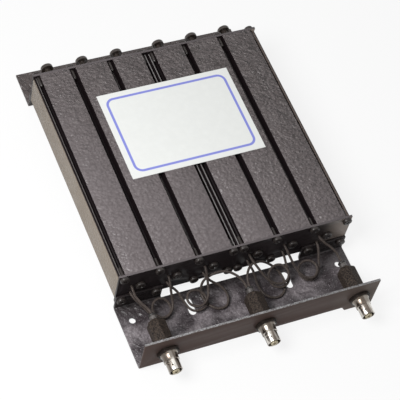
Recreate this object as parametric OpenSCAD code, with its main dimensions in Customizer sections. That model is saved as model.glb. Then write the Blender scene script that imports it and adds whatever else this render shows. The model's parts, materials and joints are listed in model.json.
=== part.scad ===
// Six-cavity coaxial duplexer: two three-cell extrusions closed by end plates, a front
// connector bracket, a rear bracket, six tuned resonators and eight coaxial jumpers.
// +Z up, +X to the right seen from the connectors, +Y towards the tuning screws.
// The origin is the middle of the outer size, on the plane that the brackets stand on.

/* [Cavity body] */
// Width inside each cell
cell_w = 24; // [22:0.5:26]
// Wall between neighbouring cells
web_t = 3.4; // [3:0.1:4.5]
// Solid side wall of an extrusion
side_t = 5.05; // [4.5:0.05:6.5]
// Height of the extrusions and end plates
body_h = 31.75; // [29:0.25:40]
// Length of the extrusions
cell_l = 176.4; // [165:0.2:200]
// Top and bottom walls of the cells
skin_t = 3; // [2.6:0.1:4]
// Radius inside the corners of the cells
cell_corner_r = 6; // [5:0.5:8]

/* [Ribs and screw channels] */
// Mouth of the groove between two raised strips
groove_mouth_w = 5.2; // [4:0.1:6]
// Depth of the tapered mouth
groove_taper_d = 1.9; // [1:0.1:2.4]
// Width of the slot under the mouth and of the round screw channel
channel_w = 3; // [2.8:0.1:3.4]
// Depth of the screw channel's axis below the strips
channel_d = 3.4; // [3.2:0.1:4]
// Side of an extrusion to the edge of its outer strip
margin_w = 4.7; // [4.4:0.1:5.2]
// Side of an extrusion to its outer screw channel
side_channel_x = 3.9; // [3.7:0.1:4.2]
// Opening above the outer screw channel
side_mouth_w = 2.3; // [1.8:0.1:2.6]
// Step from the strips down to the side lip
lip_drop = 2.8; // [2:0.1:3]
// Chamfer along the outer edges
edge_chamfer = 1; // [0.4:0.1:1.4]

/* [End plates] */
// Thickness of the front and rear end plates
plate_t = 1.6; // [1.2:0.1:3]
// Hole for a coaxial jumper
cable_hole_d = 2.4; // [2.3:0.1:2.6]
// Cable holes to the left of each resonator
cable_hole_x = 6.5; // [6.3:0.1:8]
// Upper cable hole above the resonator's axis
cable_hole_up = 1.1; // [0.6:0.1:1.6]
// Lower cable hole below the resonator's axis
cable_hole_down = 7.3; // [7:0.1:7.4]

/* [Brackets] */
// Thickness of the bracket sheet
sheet_t = 1.6; // [1.2:0.1:2.5]
// Inside radius of the bends
bend_r = 1; // [0.5:0.1:2]
// Gap between the bracket floors and the underside of the body
body_gap = 6.25; // [5.5:0.25:12]
// Front end plate to the outer face of the connector panel
tray_l = 51; // [48:0.5:60]
// Height of the connector panel above the bench
panel_h = 33.1; // [30:0.1:39]
// Rear end plate to the edge of the rear bracket
rear_floor_l = 30.4; // [27:0.2:45]
// Width of each tab that holds a bracket to an end plate
tab_w = 34.9; // [32:0.1:40]
// Top of a tab above its screws
tab_rise = 3.8; // [3.6:0.1:5]
// Half width of the window along the panel's bend
window_half_w = 66.9; // [50:0.1:67.5]
// Top of that window above the bench
window_h = 6.7; // [5:0.1:7.5]
// Sideways run of the window's slanted ends
window_slant = 4; // [0:0.5:6]

/* [Mounting holes] */
// Slots to the left and right of their own middle
slot_x = 37.7; // [30:0.1:48]
// Middle of the slots to the right of the middle
slot_shift = 0.9; // [0:0.1:2]
// Width of a slot
slot_w = 5.2; // [4.5:0.1:6.5]
// Length of a slot
slot_l = 14; // [8:0.5:18]
// Round holes to the left and right of the middle
hole_x = 80; // [72:0.1:82]
// Diameter of a round hole
hole_d = 4.7; // [4:0.1:6.5]
// End plates to the middle of the round holes
hole_y = 14.2; // [12:0.1:18]
// End plates to the middle of the slots
slot_y = 15.5; // [13:0.5:18]

/* [Screws] */
// Diameter of a plate screw's head
head_d = 6.8; // [6:0.1:7.2]
// Height of a plate screw's head
head_h = 2.4; // [1.8:0.1:3]
// Length of a plate screw under its head
screw_l = 9.5; // [7:0.5:13]
// Clearance of a screw in its channel
channel_fit = 0.05; // [0.02:0.01:0.15]
// Clearance of a screw in a sheet hole
sheet_fit = 0.25; // [0.1:0.05:0.4]
// Diameter of a resonator screw's head
resonator_head_d = 7.2; // [6.8:0.1:8]
// Diameter of a resonator screw's thread
resonator_screw_d = 4; // [3.5:0.1:4.4]

/* [Resonators] */
// Outside diameter of a resonator tube
resonator_d = 9.5; // [9.1:0.1:10]
// Length of a resonator
resonator_l = 150; // [120:0.5:155]
// Bore of the open end that the tuning slug enters
resonator_bore_d = 7.9; // [7.5:0.1:8.2]
// Depth of that bore
resonator_bore_l = 25; // [20:0.5:40]
// Thickness of a coupling loop's wire
loop_wire_d = 1.2; // [0.8:0.1:1.4]
// Reach of a coupling loop into its cell
loop_l = 20; // [10:0.5:40]
// Spacing of a coupling loop's two legs
loop_gap = 3.6; // [3.2:0.1:3.8]

/* [Tuning] */
// Diameter of a tuning screw's thread
tuning_d = 4.7; // [4:0.1:4.9]
// Diameter of a tuning screw's head
tuning_head_d = 9.3; // [8:0.1:11]
// Height of a tuning screw's head
tuning_head_h = 3.2; // [2.6:0.1:4]
// Rear end plate to the underside of a tuning screw's head
tuning_standoff = 13; // [11:0.5:20]
// Running clearance of the thread, on the radius
tuning_fit = 0.06; // [0.02:0.01:0.1]
// Lock nut across its flats
nut_af = 9.5; // [9:0.1:11]
// Thickness of a lock nut
nut_t = 3.2; // [2.4:0.1:4]
// Body of a threaded bushing pressed into the rear end plate
bushing_d = 8.8; // [8:0.1:10]
// Neck of the bushing, which fills the plate's hole
bushing_neck_d = 6.4; // [6:0.1:7]
// Length of the bushing's body inside the cell
bushing_l = 3; // [2:0.1:6]
// Diameter of a tuning slug
slug_d = 7; // [6.4:0.1:7.2]
// Length of a tuning slug
slug_l = 14; // [11:0.5:16]
// Part of the slug that is inside the resonator at rest
slug_entry = 10; // [8:0.5:11]
// Depth of the screw's seat in the slug
slug_seat_l = 8; // [5:0.5:9]
// Gap between the screw's tip and the bottom of its seat
slug_tip_gap = 0.3; // [0.1:0.05:0.5]

/* [Connector jacks] */
// Spacing of the three jacks
jack_pitch = 73.2; // [60:0.1:73.4]
// Middle jack to the right of the middle
jack_shift = 2.9; // [0:0.1:3.4]
// Height of the jacks above the bench
jack_z = 16.1; // [15.8:0.1:20]
// Panel face to the tip of a jack
jack_l = 15.8; // [14:0.1:20]
// Outside diameter of the bayonet barrel
barrel_d = 9.8; // [9.4:0.1:10]
// Bore of the barrel
barrel_bore_d = 8.3; // [8:0.1:8.6]
// Depth of that bore
barrel_bore_l = 9; // [7:0.5:11]
// Diameter of the barrel's root behind the lugs
barrel_root_d = 11.1; // [10.4:0.1:11.4]
// Tip of the barrel to its root
barrel_root_y = 8; // [7.8:0.1:9]
// Diameter of the threaded collar that passes the panel
collar_d = 12.7; // [11.6:0.1:13]
// Collar standing out in front of its nut
collar_lead = 1.4; // [0.6:0.1:2]
// Clearance of the collar in the panel, on the radius
collar_fit = 0.15; // [0.05:0.05:0.3]
// Panel nut across its flats
jack_nut_af = 14.3; // [13.8:0.1:15.5]
// Thickness of the panel nut
jack_nut_t = 1.6; // [1.2:0.1:3]
// Outside diameter of the washer under the panel nut
jack_washer_d = 15.8; // [15:0.1:17]
// Thickness of that washer
jack_washer_t = 0.6; // [0.4:0.1:1]
// Diameter of a bayonet lug
lug_d = 2; // [1.6:0.1:2.2]
// Lug standing out of the barrel
lug_h = 0.75; // [0.5:0.05:1]
// Tip of the barrel to the lugs
lug_y = 6; // [4:0.1:6.6]
// Slant of the two lugs about the jack's axis
lug_angle = 55; // [0:5:90]
// Small cross hole in the barrel
cross_hole_d = 1; // [0.6:0.1:1.4]
// Tip of the barrel to the cross hole
cross_hole_y = 3.4; // [2:0.1:4]
// Diameter of the insulator
insulator_d = 5.4; // [4.6:0.1:6]
// Insulator standing out of the barrel
insulator_lead = 0.6; // [0:0.1:1]
// Diameter of the centre contact
contact_d = 2.2; // [1.8:0.1:2.6]
// Bore of the centre contact
contact_bore_d = 1.4; // [1:0.1:1.5]
// Flange behind the panel
jack_flange_d = 15.6; // [14.5:0.1:17]
// Thickness of that flange
jack_flange_t = 2; // [1.2:0.1:3]
// Hexagonal body behind the panel, across its flats
hex_af = 12.5; // [12:0.1:13.5]
// Length of the hexagonal body
hex_l = 22.4; // [18:0.1:23.5]
// Bevel at the rear end of the hexagonal body
hex_bevel = 1.6; // [0.8:0.1:2.4]
// Diameter of the neck behind it
neck_d = 7; // [6:0.1:8]
// Length of the neck
neck_l = 1.2; // [0.8:0.1:2]
// Diameter of the ferrule that grips the cables
ferrule_d = 5.4; // [5:0.1:5.8]
// Length of the ferrule
ferrule_l = 4.8; // [4:0.1:8]
// Rim at the end of the ferrule
ferrule_rim = 0.35; // [0.1:0.05:0.6]

/* [Label] */
// Width of the label
label_w = 103.3; // [60:0.1:120]
// Length of the label along the strips
label_l = 75.4; // [40:0.1:90]
// Thickness of the label
label_t = 0.3; // [0.2:0.05:0.6]
// Label to the right of the middle
label_x = 0.45; // [-5:0.05:5]
// Front end plate to the middle of the label
label_y = 110.8; // [90:0.1:125]

/* [Jumpers] */
// Outside diameter of the coaxial jumpers
cable_d = 1.8; // [1.6:0.1:2]
// Outer face of the front end plate to the jumpers' ends inside the cells
cable_entry = 6; // [4:0.5:8]

/* [Hidden] */

$fn = 48;
// Overshoot of a cut past the face that it opens
cut = 1;

// Widths that follow from the cells
cell_pitch = cell_w + web_t;
extrusion_w = 3 * cell_w + 2 * web_t + 2 * side_t;
body_w = 2 * extrusion_w;
groove_x = (cell_w + groove_mouth_w) / 2;
channel_r = channel_w / 2;

// Heights above the bench
floor_z = sheet_t;
body_z = floor_z + body_gap;
top_z = body_z + body_h;
axis_z = body_z + body_h / 2;
low_row_z = body_z + channel_d;
high_row_z = top_z - channel_d;

// Places along Y, which centre the whole length on the origin
rear_edge = 2 * plate_t + cell_l + rear_floor_l;
front_edge = tray_l + jack_l + insulator_lead;
front_y = -(rear_edge - front_edge) / 2;
cell_y = front_y + plate_t;
rear_plate_y = cell_y + cell_l;
rear_y = rear_plate_y + plate_t;
panel_y = front_y - tray_l;
panel_back_y = panel_y + sheet_t;
tip_y = panel_y - jack_l;

// Places across X
extrusion_xs = [-extrusion_w / 2, extrusion_w / 2];
cell_xs = [for (mid = extrusion_xs, i = [-1:1]) mid + i * cell_pitch];
screw_offsets = [-(extrusion_w / 2 - side_channel_x), -groove_x, groove_x,
    extrusion_w / 2 - side_channel_x];
screw_xs = [for (mid = extrusion_xs, dx = screw_offsets) mid + dx];
jack_xs = [for (i = [-1:1]) jack_shift + i * jack_pitch];
tab_x = body_w / 2 - tab_w;
upper_hole_z = axis_z + cable_hole_up;
lower_hole_z = axis_z - cable_hole_down;

// Screws and their holes
shank_d = channel_w - 2 * channel_fit;
shank_hole_d = shank_d + 2 * sheet_fit;
resonator_hole_d = resonator_screw_d + 2 * sheet_fit;

// Pan heads as shares of their own diameter or height: cross recess, its depth, and the
// straight part of the rim
recess_l = 0.6;
recess_w = 0.17;
recess_depth = 0.55;
recess_turn = 20;
head_edge = 0.5;
screw_tip = 1;
resonator_thread_l = 8;

// Tuning
resonator_end_y = cell_y + resonator_l;
slug_y = resonator_end_y - slug_entry;
screw_tip_y = slug_y + slug_l - slug_seat_l + slug_tip_gap;
tuning_hole_d = tuning_d + 2 * tuning_fit;
nut_chamfer = 0.5;
slug_chamfer = 0.4;

// Jacks
washer_y = panel_y - jack_washer_t;
nut_y = washer_y - jack_nut_t;
collar_y = nut_y - collar_lead;
hex_y = panel_back_y + hex_l;
neck_y = hex_y + neck_l;
collar_depth = 6;
insulator_seat_l = 4;
insulator_depth = barrel_bore_l + insulator_seat_l;
contact_bore_l = 5;
contact_recess = 0.5;
barrel_chamfer = 0.3;
collar_chamfer = 0.3;
barrel_root_step = 0.4;
hex_turn = 30;
lug_root = 0.5;
ferrule_rim_l = 1.2;
cross_hole_angle = -22;

// Jumper routes: X across, Y from the outer face of the front end plate with its front
// negative, Z above the bench
cable_sides = 8;
route_1 = [[-78.4, 6, 24.8], [-78.4, 3.8, 24.8], [-78.4, 1.6, 24.8], [-78.4, -0.6, 24.6],
    [-78.4, -2.6, 24], [-78.2, -4.4, 23], [-77.8, -6.2, 21.8], [-77, -7.8, 20.7],
    [-76, -9.6, 19.7], [-75, -11.2, 18.8], [-73.8, -12.8, 17.9], [-72.5, -14.4, 17.2],
    [-71.4, -16, 16.6], [-70.6, -18, 16.2], [-70.3, -21, 16.1]];
route_2 = [[-51, 6, 24.8], [-51, 1.6, 24.8], [-51, -2.2, 24], [-51, -5.2, 21],
    [-50.8, -7.4, 17], [-50.5, -9.8, 13], [-50.6, -12.8, 9.8], [-51.8, -16.4, 7.8],
    [-55, -19.6, 6.8], [-59.2, -21, 6.6], [-63.2, -19.4, 7], [-65.4, -15.8, 7.6],
    [-65, -11.4, 8.4], [-61.8, -8, 9], [-57.4, -7, 8.6], [-53.6, -8.8, 7.4],
    [-51.8, -12.4, 5.6], [-52.6, -16.6, 4.2], [-56, -19.6, 3.6], [-60.4, -20, 3.6],
    [-64.6, -17.8, 4.2], [-68, -14, 5.8], [-70.8, -10.4, 8.2], [-73.8, -7, 11],
    [-76.4, -4.8, 13.8], [-77.9, -2.2, 15.9], [-78.4, 1.6, 16.4], [-78.4, 6, 16.4]];
route_3 = [[-23.5, 6, 24.8], [-23.5, 1.6, 24.8], [-23.5, -2.2, 24], [-23.3, -5, 21],
    [-23, -7.2, 17.2], [-23, -9.6, 13.6], [-23.6, -12.8, 10.8], [-25.2, -16.2, 9],
    [-28.4, -19.2, 8], [-32.6, -20.4, 7.6], [-36.8, -19, 8], [-39.4, -15.6, 8.6],
    [-38.9, -11.7, 9.2], [-36, -8.8, 9.6], [-31.4, -8.2, 9.2], [-27.4, -10.2, 8],
    [-25.4, -13.8, 6.6], [-26, -18, 5.6], [-29, -21, 5.2], [-33.2, -22, 5], [-37, -21.4, 5.3],
    [-39.9, -19, 6.2], [-41.6, -15.6, 7.5], [-43, -12, 9.2], [-44.4, -8.4, 11.2],
    [-46.4, -5.8, 13.2], [-48.6, -3.9, 14.9], [-50.3, -1.6, 16], [-51, 1.6, 16.4],
    [-51, 6, 16.4]];
route_4 = [[1.75, -21, 16.1], [1.4, -16.4, 16.5], [-0.4, -12.8, 17.8], [-3.6, -9.4, 19.2],
    [-7.6, -6.8, 20.2], [-12, -5.2, 20.4], [-16.6, -4.8, 19.8], [-20.6, -4.8, 17.8],
    [-23.6, -4.8, 14.8], [-25.4, -5.4, 10.8], [-26.2, -7, 7], [-26.4, -10.2, 4.2],
    [-26, -14.2, 3], [-24.6, -18, 2.8], [-21.6, -21.8, 2.8], [-17.2, -24, 2.8],
    [-12.7, -23.3, 3], [-9.8, -19.8, 3.6], [-9.2, -15.4, 4.8], [-10.7, -11.6, 6.6],
    [-13.8, -8.4, 8.6], [-17.6, -6.4, 10.8], [-20.6, -4.6, 13.2], [-22.7, -2.2, 15.4],
    [-23.5, 1.6, 16.4], [-23.5, 6, 16.4]];
route_5 = [[4.05, -21, 16.1], [4.2, -16.4, 16.6], [5.2, -12.6, 17.8], [7.4, -8.8, 18.8],
    [10.8, -5.8, 19.2], [14.8, -4.2, 18.8], [18.8, -3.8, 17.2], [22.8, -3.8, 14.6],
    [26.6, -4.4, 11.4], [30.2, -5.8, 8.2], [33.2, -8.4, 5.6], [35, -12.2, 3.8],
    [35.4, -16.6, 3], [34.2, -21, 2.8], [31.6, -24.8, 2.8], [27.6, -27.2, 2.8],
    [23, -27.2, 2.8], [19.2, -24.8, 2.8], [16.6, -21, 3], [15.2, -16.6, 3.8],
    [14.8, -12.2, 5.4], [14.5, -8.6, 8], [13.7, -6.4, 10.8], [12.4, -4.6, 13.4],
    [11.1, -2.2, 15.5], [10.5, 1.6, 16.4], [10.5, 6, 16.4]];
route_6 = [[10.5, 6, 24.8], [10.5, 1.6, 24.8], [10.7, -2.2, 24.3], [12, -5.4, 22.6],
    [14, -8.6, 20], [16.4, -12, 17], [19, -15.2, 14], [22, -17.8, 11.4], [25.6, -19.6, 9.4],
    [29.8, -20.6, 8.4], [34.2, -19.8, 8.4], [37.4, -17, 9], [38.4, -13, 10], [36.8, -9.2, 11],
    [33, -7.2, 11.6], [28.6, -7.6, 11.2], [25, -10, 9.8], [23.4, -14, 8.2], [24.4, -18.2, 6.6],
    [27.6, -21, 5.6], [32, -21.8, 5.4], [35.9, -20.4, 5.8], [38.3, -17, 6.8], [39, -13.4, 7.8],
    [39.3, -10.2, 9.1], [39.1, -7, 11.2], [38.8, -4.4, 13.6], [38.3, -1.8, 15.7],
    [38, 1.6, 16.4], [38, 6, 16.4]];
route_7 = [[38, 6, 24.8], [38, 1.6, 24.8], [38.2, -2.2, 24.2], [39.2, -5.4, 22],
    [40.6, -8.8, 18.8], [42.2, -12.4, 15.4], [44.2, -16, 12.4], [47, -19.4, 10],
    [50.8, -21.8, 8.4], [55.2, -22.2, 7.8], [58.8, -19.8, 8], [60.6, -15.8, 8.8],
    [59.4, -11.6, 9.4], [55.8, -9, 9.4], [51.4, -9, 8.6], [48.2, -11.6, 7.2],
    [47.2, -15.8, 5.8], [49.2, -19.6, 4.6], [53, -21.8, 4.2], [57.4, -21.4, 4.4],
    [61, -18.6, 5.2], [63, -14.6, 7], [64.2, -10.4, 9.8], [65, -6.8, 12.8], [65.4, -3.6, 15.4],
    [65.4, -1, 16.3], [65.4, 1.6, 16.4], [65.4, 6, 16.4]];
route_8 = [[65.4, 6, 24.8], [65.4, 3.8, 24.8], [65.4, 1.6, 24.8], [65.5, -0.8, 24.6],
    [66, -2.8, 24.1], [67.1, -4.6, 23.3], [68.5, -6, 22.3], [70, -7.3, 21.3],
    [71.6, -8.7, 20.4], [73, -10.2, 19.5], [74.2, -11.8, 18.5], [75.2, -13.6, 17.6],
    [75.8, -15.6, 16.8], [76.1, -17.8, 16.2], [76.1, -21, 16.1]];

// Solid of length l behind y, from an outline drawn in X and Z
module along_y(y, l) {
    translate([0, y + l, 0]) rotate([90, 0, 0]) linear_extrude(l) children();
}

// Solid of length l to the right of x, from an outline drawn in Y and Z
module along_x(x, l) {
    translate([x, 0, 0]) rotate([90, 0, 90]) linear_extrude(l) children();
}

// Round bar or bore along Y
module rod(d, x, y, z, l) {
    translate([x, y, z]) rotate([-90, 0, 0]) cylinder(h = l, d = d);
}

// Turned shape about a line along Y, from an outline of radius and distance
module turned(x, y, z) {
    translate([x, y, z]) rotate([-90, 0, 0]) rotate_extrude() children();
}

// Rectangle about its centre with round corners
module rounded_rectangle(w, h, r) {
    square([w - 2 * r, h], center = true);
    square([w, h - 2 * r], center = true);
    for (x = [-1, 1], y = [-1, 1])
        translate([x * (w / 2 - r), y * (h / 2 - r)]) circle(r);
}

// Outline of a groove between two strips, down from 0: tapered mouth, slot and round
// screw channel
module groove_outline() {
    polygon([[-groove_mouth_w / 2, cut], [groove_mouth_w / 2, cut],
        [groove_mouth_w / 2, 0], [channel_r, -groove_taper_d], [channel_r, -channel_d],
        [-channel_r, -channel_d], [-channel_r, -groove_taper_d], [-groove_mouth_w / 2, 0]]);
    translate([0, -channel_d]) circle(channel_r);
}

// Outline of the step along a side, seen from the side's corner at 0, 0: lip with a
// chamfered edge, slot along the strip and round screw channel
module side_step_outline() {
    polygon([[-margin_w, cut], [cut, cut], [cut, -lip_drop - edge_chamfer],
        [0, -lip_drop - edge_chamfer], [-edge_chamfer, -lip_drop],
        [side_mouth_w - margin_w, -lip_drop], [side_mouth_w - margin_w, -channel_d],
        [-margin_w, -channel_d]]);
    translate([-side_channel_x, -channel_d]) circle(channel_r);
}

module extrusion_outline() {
    difference() {
        translate([-extrusion_w / 2, -body_h / 2]) square([extrusion_w, body_h]);
        for (i = [-1:1])
            translate([i * cell_pitch, 0])
                rounded_rectangle(cell_w, body_h - 2 * skin_t, cell_corner_r);
        for (under = [0, 1], side = [0, 1])
            mirror([0, under]) mirror([side, 0]) {
                translate([groove_x, body_h / 2]) groove_outline();
                translate([extrusion_w / 2, body_h / 2]) side_step_outline();
            }
    }
}

module extrusion(i) {
    color("#5b5655")
        translate([extrusion_xs[i], 0, axis_z]) along_y(cell_y, cell_l) extrusion_outline();
}

// Blank of an end plate, with the holes for its own screws
module plate_outline() {
    difference() {
        translate([-body_w / 2, body_z]) square([body_w, body_h]);
        for (x = screw_xs, z = [low_row_z, high_row_z])
            translate([x, z]) circle(d = shank_hole_d);
    }
}

module front_end_plate() {
    color("#262223") along_y(front_y, plate_t)
        difference() {
            plate_outline();
            for (x = cell_xs) {
                translate([x, axis_z]) circle(d = resonator_hole_d);
                for (z = [upper_hole_z, lower_hole_z])
                    translate([x - cable_hole_x, z]) circle(d = cable_hole_d);
            }
        }
}

module rear_end_plate() {
    color("#262223") along_y(rear_plate_y, plate_t)
        difference() {
            plate_outline();
            for (x = cell_xs) translate([x, axis_z]) circle(d = bushing_neck_d);
        }
}

// Quarter bend in the sheet: its outer corner is at 0, 0 and it opens to +Y and +Z
module bend_outline() {
    outer_r = bend_r + sheet_t;
    intersection() {
        square(outer_r);
        translate([outer_r, outer_r])
            difference() {
                circle(outer_r);
                circle(bend_r);
            }
    }
}

// Upright wall on a bend, seen from the side, with its outer face at 0
module bent_wall_outline(h) {
    bend_outline();
    translate([0, bend_r + sheet_t]) square([sheet_t, h - bend_r - sheet_t]);
}

// Slotted and round mounting holes beyond the end plate at y, for cutting
module mounting_holes(y, way) {
    for (side = [-1, 1]) {
        translate([side * hole_x, y + way * hole_y, -cut])
            cylinder(h = sheet_t + 2 * cut, d = hole_d);
        translate([slot_shift + side * slot_x, y + way * slot_y, -cut])
            linear_extrude(sheet_t + 2 * cut) {
                square([slot_w, slot_l - slot_w], center = true);
                for (end = [-1, 1])
                    translate([0, end * (slot_l - slot_w) / 2]) circle(d = slot_w);
            }
    }
}

// Tabs against a front end plate whose face is at y, with the bend under each
module tabs(y) {
    tab_h = low_row_z + tab_rise;
    for (x = [-body_w / 2, tab_x])
        difference() {
            along_x(x, tab_w) translate([y, 0]) mirror([1, 0]) bent_wall_outline(tab_h);
            for (sx = screw_xs) rod(shank_hole_d, sx, y - sheet_t - cut, low_row_z,
                sheet_t + 2 * cut);
        }
}

// Flat floor between two lines along Y
module bracket_floor(y, l) {
    translate([-body_w / 2, y, 0]) cube([body_w, l, sheet_t]);
}

module front_bracket() {
    bend = bend_r + sheet_t;
    color("#3e3a3c") difference() {
        union() {
            tabs(front_y);
            bracket_floor(panel_y + bend, tray_l - 2 * bend);
            along_x(-body_w / 2, body_w) translate([panel_y, 0]) bent_wall_outline(panel_h);
        }
        mounting_holes(front_y, -1);
        for (x = jack_xs)
            rod(collar_d + 2 * collar_fit, x, panel_y - cut, jack_z, sheet_t + 2 * cut);
        along_y(panel_y - cut, bend + 2 * cut)
            polygon([[-window_half_w - window_slant / 2, -cut],
                [window_half_w + window_slant / 2, -cut],
                [window_half_w + window_slant / 2, 0],
                [window_half_w - window_slant / 2, window_h],
                [-window_half_w + window_slant / 2, window_h],
                [-window_half_w - window_slant / 2, 0]]);
    }
}

module rear_bracket() {
    bend = bend_r + sheet_t;
    color("#3e3a3c") difference() {
        union() {
            translate([0, 2 * rear_y, 0]) mirror([0, 1, 0]) tabs(rear_y);
            bracket_floor(rear_y + bend, rear_floor_l - bend);
        }
        mounting_holes(rear_y, 1);
    }
}

module label_plate() {
    color("#eef0f0")
        translate([label_x - label_w / 2, front_y + label_y - label_l / 2, top_z])
            cube([label_w, label_l, label_t]);
}

// Rounded rim of a pan head of radius r and height h
function pan_rim(r, h) = [for (a = [90:-30:0])
    [r * (1 - head_edge + head_edge * cos(a)), -h * (head_edge + (1 - head_edge) * sin(a))]];

// Pan-head screw along +Y, with the underside of its head at the place given, a cross
// recess and a short lead-in at the tip
module pan_screw(x, y, z, d, h, shank, l) {
    difference() {
        turned(x, y, z)
            polygon(concat([[0, l], [0, -h]], pan_rim(d / 2, h),
                [[d / 2, 0], [shank / 2, 0], [shank / 2, l - screw_tip],
                [shank / 2 - screw_tip / 2, l]]));
        for (turn = [0, 90])
            translate([x, y - h, z]) rotate([0, recess_turn + turn, 0])
                cube([d * recess_l, 2 * h * recess_depth, d * recess_w], center = true);
    }
}

// Screws of one end plate: the lower ones outside tab_x also hold the bracket's tabs
module plate_screws() {
    for (x = screw_xs) {
        on_tab = abs(x) > tab_x;
        pan_screw(x, 0, high_row_z, head_d, head_h, shank_d, screw_l);
        pan_screw(x, on_tab ? -sheet_t : 0, low_row_z, head_d, head_h, shank_d, screw_l);
    }
}

module front_plate_screws() {
    color("#4a4441") translate([0, front_y, 0]) plate_screws();
}

module rear_plate_screws() {
    color("#4a4441") translate([0, rear_y, 0]) mirror([0, 1, 0]) plate_screws();
}

module resonator_screws() {
    color("#4a4441") for (x = cell_xs)
        pan_screw(x, front_y, axis_z, resonator_head_d, head_h, resonator_screw_d,
            plate_t + resonator_thread_l);
}

// Tube on the inner face of the front end plate, tapped at its foot and open at its end
module resonator(i) {
    color("#b87f4a") difference() {
        rod(resonator_d, cell_xs[i], cell_y, axis_z, resonator_l);
        rod(resonator_screw_d + 2 * channel_fit, cell_xs[i], cell_y - cut, axis_z,
            resonator_thread_l + 2 * cut);
        rod(resonator_bore_d, cell_xs[i], resonator_end_y - resonator_bore_l, axis_z,
            resonator_bore_l + cut);
    }
}

// Hairpin of wire from a jumper's end back to the end plate
module coupling_loop(x, z) {
    entry_y = front_y + cable_entry;
    bend_y = cell_y + loop_l - loop_gap / 2;
    rod(loop_wire_d, x, entry_y, z, bend_y - entry_y);
    rod(loop_wire_d, x - loop_gap, cell_y, z, bend_y - cell_y);
    translate([x - loop_gap / 2, bend_y, z])
        rotate_extrude(angle = 180) translate([loop_gap / 2, 0]) circle(d = loop_wire_d);
}

module coupling_loops() {
    color("#c9a063") for (x = cell_xs, z = [upper_hole_z, lower_hole_z])
        coupling_loop(x - cable_hole_x, z);
}

module tuning_bushings() {
    color("#b59a5b") for (x = cell_xs)
        difference() {
            union() {
                rod(bushing_d, x, rear_plate_y - bushing_l, axis_z, bushing_l);
                rod(bushing_neck_d, x, rear_plate_y, axis_z, plate_t);
            }
            rod(tuning_hole_d, x, rear_plate_y - bushing_l - cut, axis_z,
                bushing_l + plate_t + 2 * cut);
        }
}

// Slug on the screw's tip, which slides in the resonator's bore
module tuning_slug(i) {
    slug_r = slug_d / 2;
    color("#c8a85a") difference() {
        turned(cell_xs[i], slug_y, axis_z)
            polygon([[0, 0], [slug_r - slug_chamfer, 0], [slug_r, slug_chamfer],
                [slug_r, slug_l - slug_chamfer], [slug_r - slug_chamfer, slug_l],
                [0, slug_l]]);
        rod(tuning_hole_d, cell_xs[i], slug_y + slug_l - slug_seat_l, axis_z,
            slug_seat_l + cut);
    }
}

module tuning_screw(i) {
    color("#3a3431") translate([0, rear_y + tuning_standoff, 0]) mirror([0, 1, 0])
        pan_screw(cell_xs[i], 0, axis_z, tuning_head_d, tuning_head_h, tuning_d,
            rear_y + tuning_standoff - screw_tip_y);
}

// Hexagonal blank along +Y with both faces chamfered to the corners
module hex_blank(af, l, bevel_front, bevel_rear) {
    corner_r = af / sqrt(3);
    intersection() {
        rotate([-90, 0, 0]) cylinder(h = l, r = corner_r, $fn = 6);
        turned(0, 0, 0) polygon([[0, 0], [corner_r - bevel_front, 0],
            [corner_r, bevel_front / 2], [corner_r, l - bevel_rear / 2],
            [corner_r - bevel_rear, l], [0, l]]);
    }
}

module lock_nut(i) {
    color("#4a4441") translate([cell_xs[i], rear_y, axis_z])
        difference() {
            hex_blank(nut_af, nut_t, nut_chamfer, nut_chamfer);
            rod(tuning_hole_d, 0, -cut, 0, nut_t + 2 * cut);
        }
}

// Bayonet barrel, collar through the panel and thread inside the hexagonal body
module jack_shell(i) {
    barrel_r = barrel_d / 2;
    collar_r = collar_d / 2;
    collar = collar_y - tip_y;
    back = panel_back_y - tip_y;
    color("#d2cec8") difference() {
        union() {
            turned(jack_xs[i], tip_y, jack_z)
                polygon([[0, 0], [barrel_r - barrel_chamfer, 0], [barrel_r, barrel_chamfer],
                    [barrel_r, barrel_root_y - barrel_root_step],
                    [barrel_root_d / 2, barrel_root_y], [barrel_root_d / 2, collar],
                    [collar_r - collar_chamfer, collar],
                    [collar_r, collar + collar_chamfer], [collar_r, back],
                    [barrel_r, back], [barrel_r, back + collar_depth],
                    [0, back + collar_depth]]);
            for (end = [0, 180])
                translate([jack_xs[i], tip_y + lug_y, jack_z])
                    rotate([0, end - lug_angle, 0])
                        translate([0, 0, barrel_r - lug_root])
                            cylinder(h = lug_root + lug_h, d = lug_d);
        }
        rod(barrel_bore_d, jack_xs[i], tip_y - cut, jack_z, barrel_bore_l + cut);
        rod(insulator_d, jack_xs[i], tip_y, jack_z, insulator_depth);
        translate([jack_xs[i], tip_y + cross_hole_y, jack_z])
            rotate([0, cross_hole_angle, 0]) cylinder(h = barrel_d, d = cross_hole_d);
    }
}

module jack_insulator(i) {
    color("#c9bd9c") difference() {
        rod(insulator_d, jack_xs[i], tip_y - insulator_lead, jack_z,
            insulator_lead + insulator_depth);
        rod(contact_d, jack_xs[i], tip_y - insulator_lead - cut, jack_z,
            insulator_lead + insulator_depth + 2 * cut);
    }
}

module jack_contact(i) {
    color("#caa24c") difference() {
        rod(contact_d, jack_xs[i], tip_y + contact_recess, jack_z,
            insulator_depth - contact_recess);
        rod(contact_bore_d, jack_xs[i], tip_y, jack_z, contact_bore_l);
    }
}

module jack_hex_body(i) {
    color("#4a423b") translate([jack_xs[i], panel_back_y, jack_z])
        difference() {
            union() {
                rotate([0, hex_turn, 0]) hex_blank(hex_af, hex_l, nut_chamfer, hex_bevel);
                rod(jack_flange_d, 0, 0, 0, jack_flange_t);
                rod(neck_d, 0, hex_l - cut, 0, neck_l + cut);
            }
            rod(barrel_d, 0, -cut, 0, collar_depth + cut);
        }
}

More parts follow.
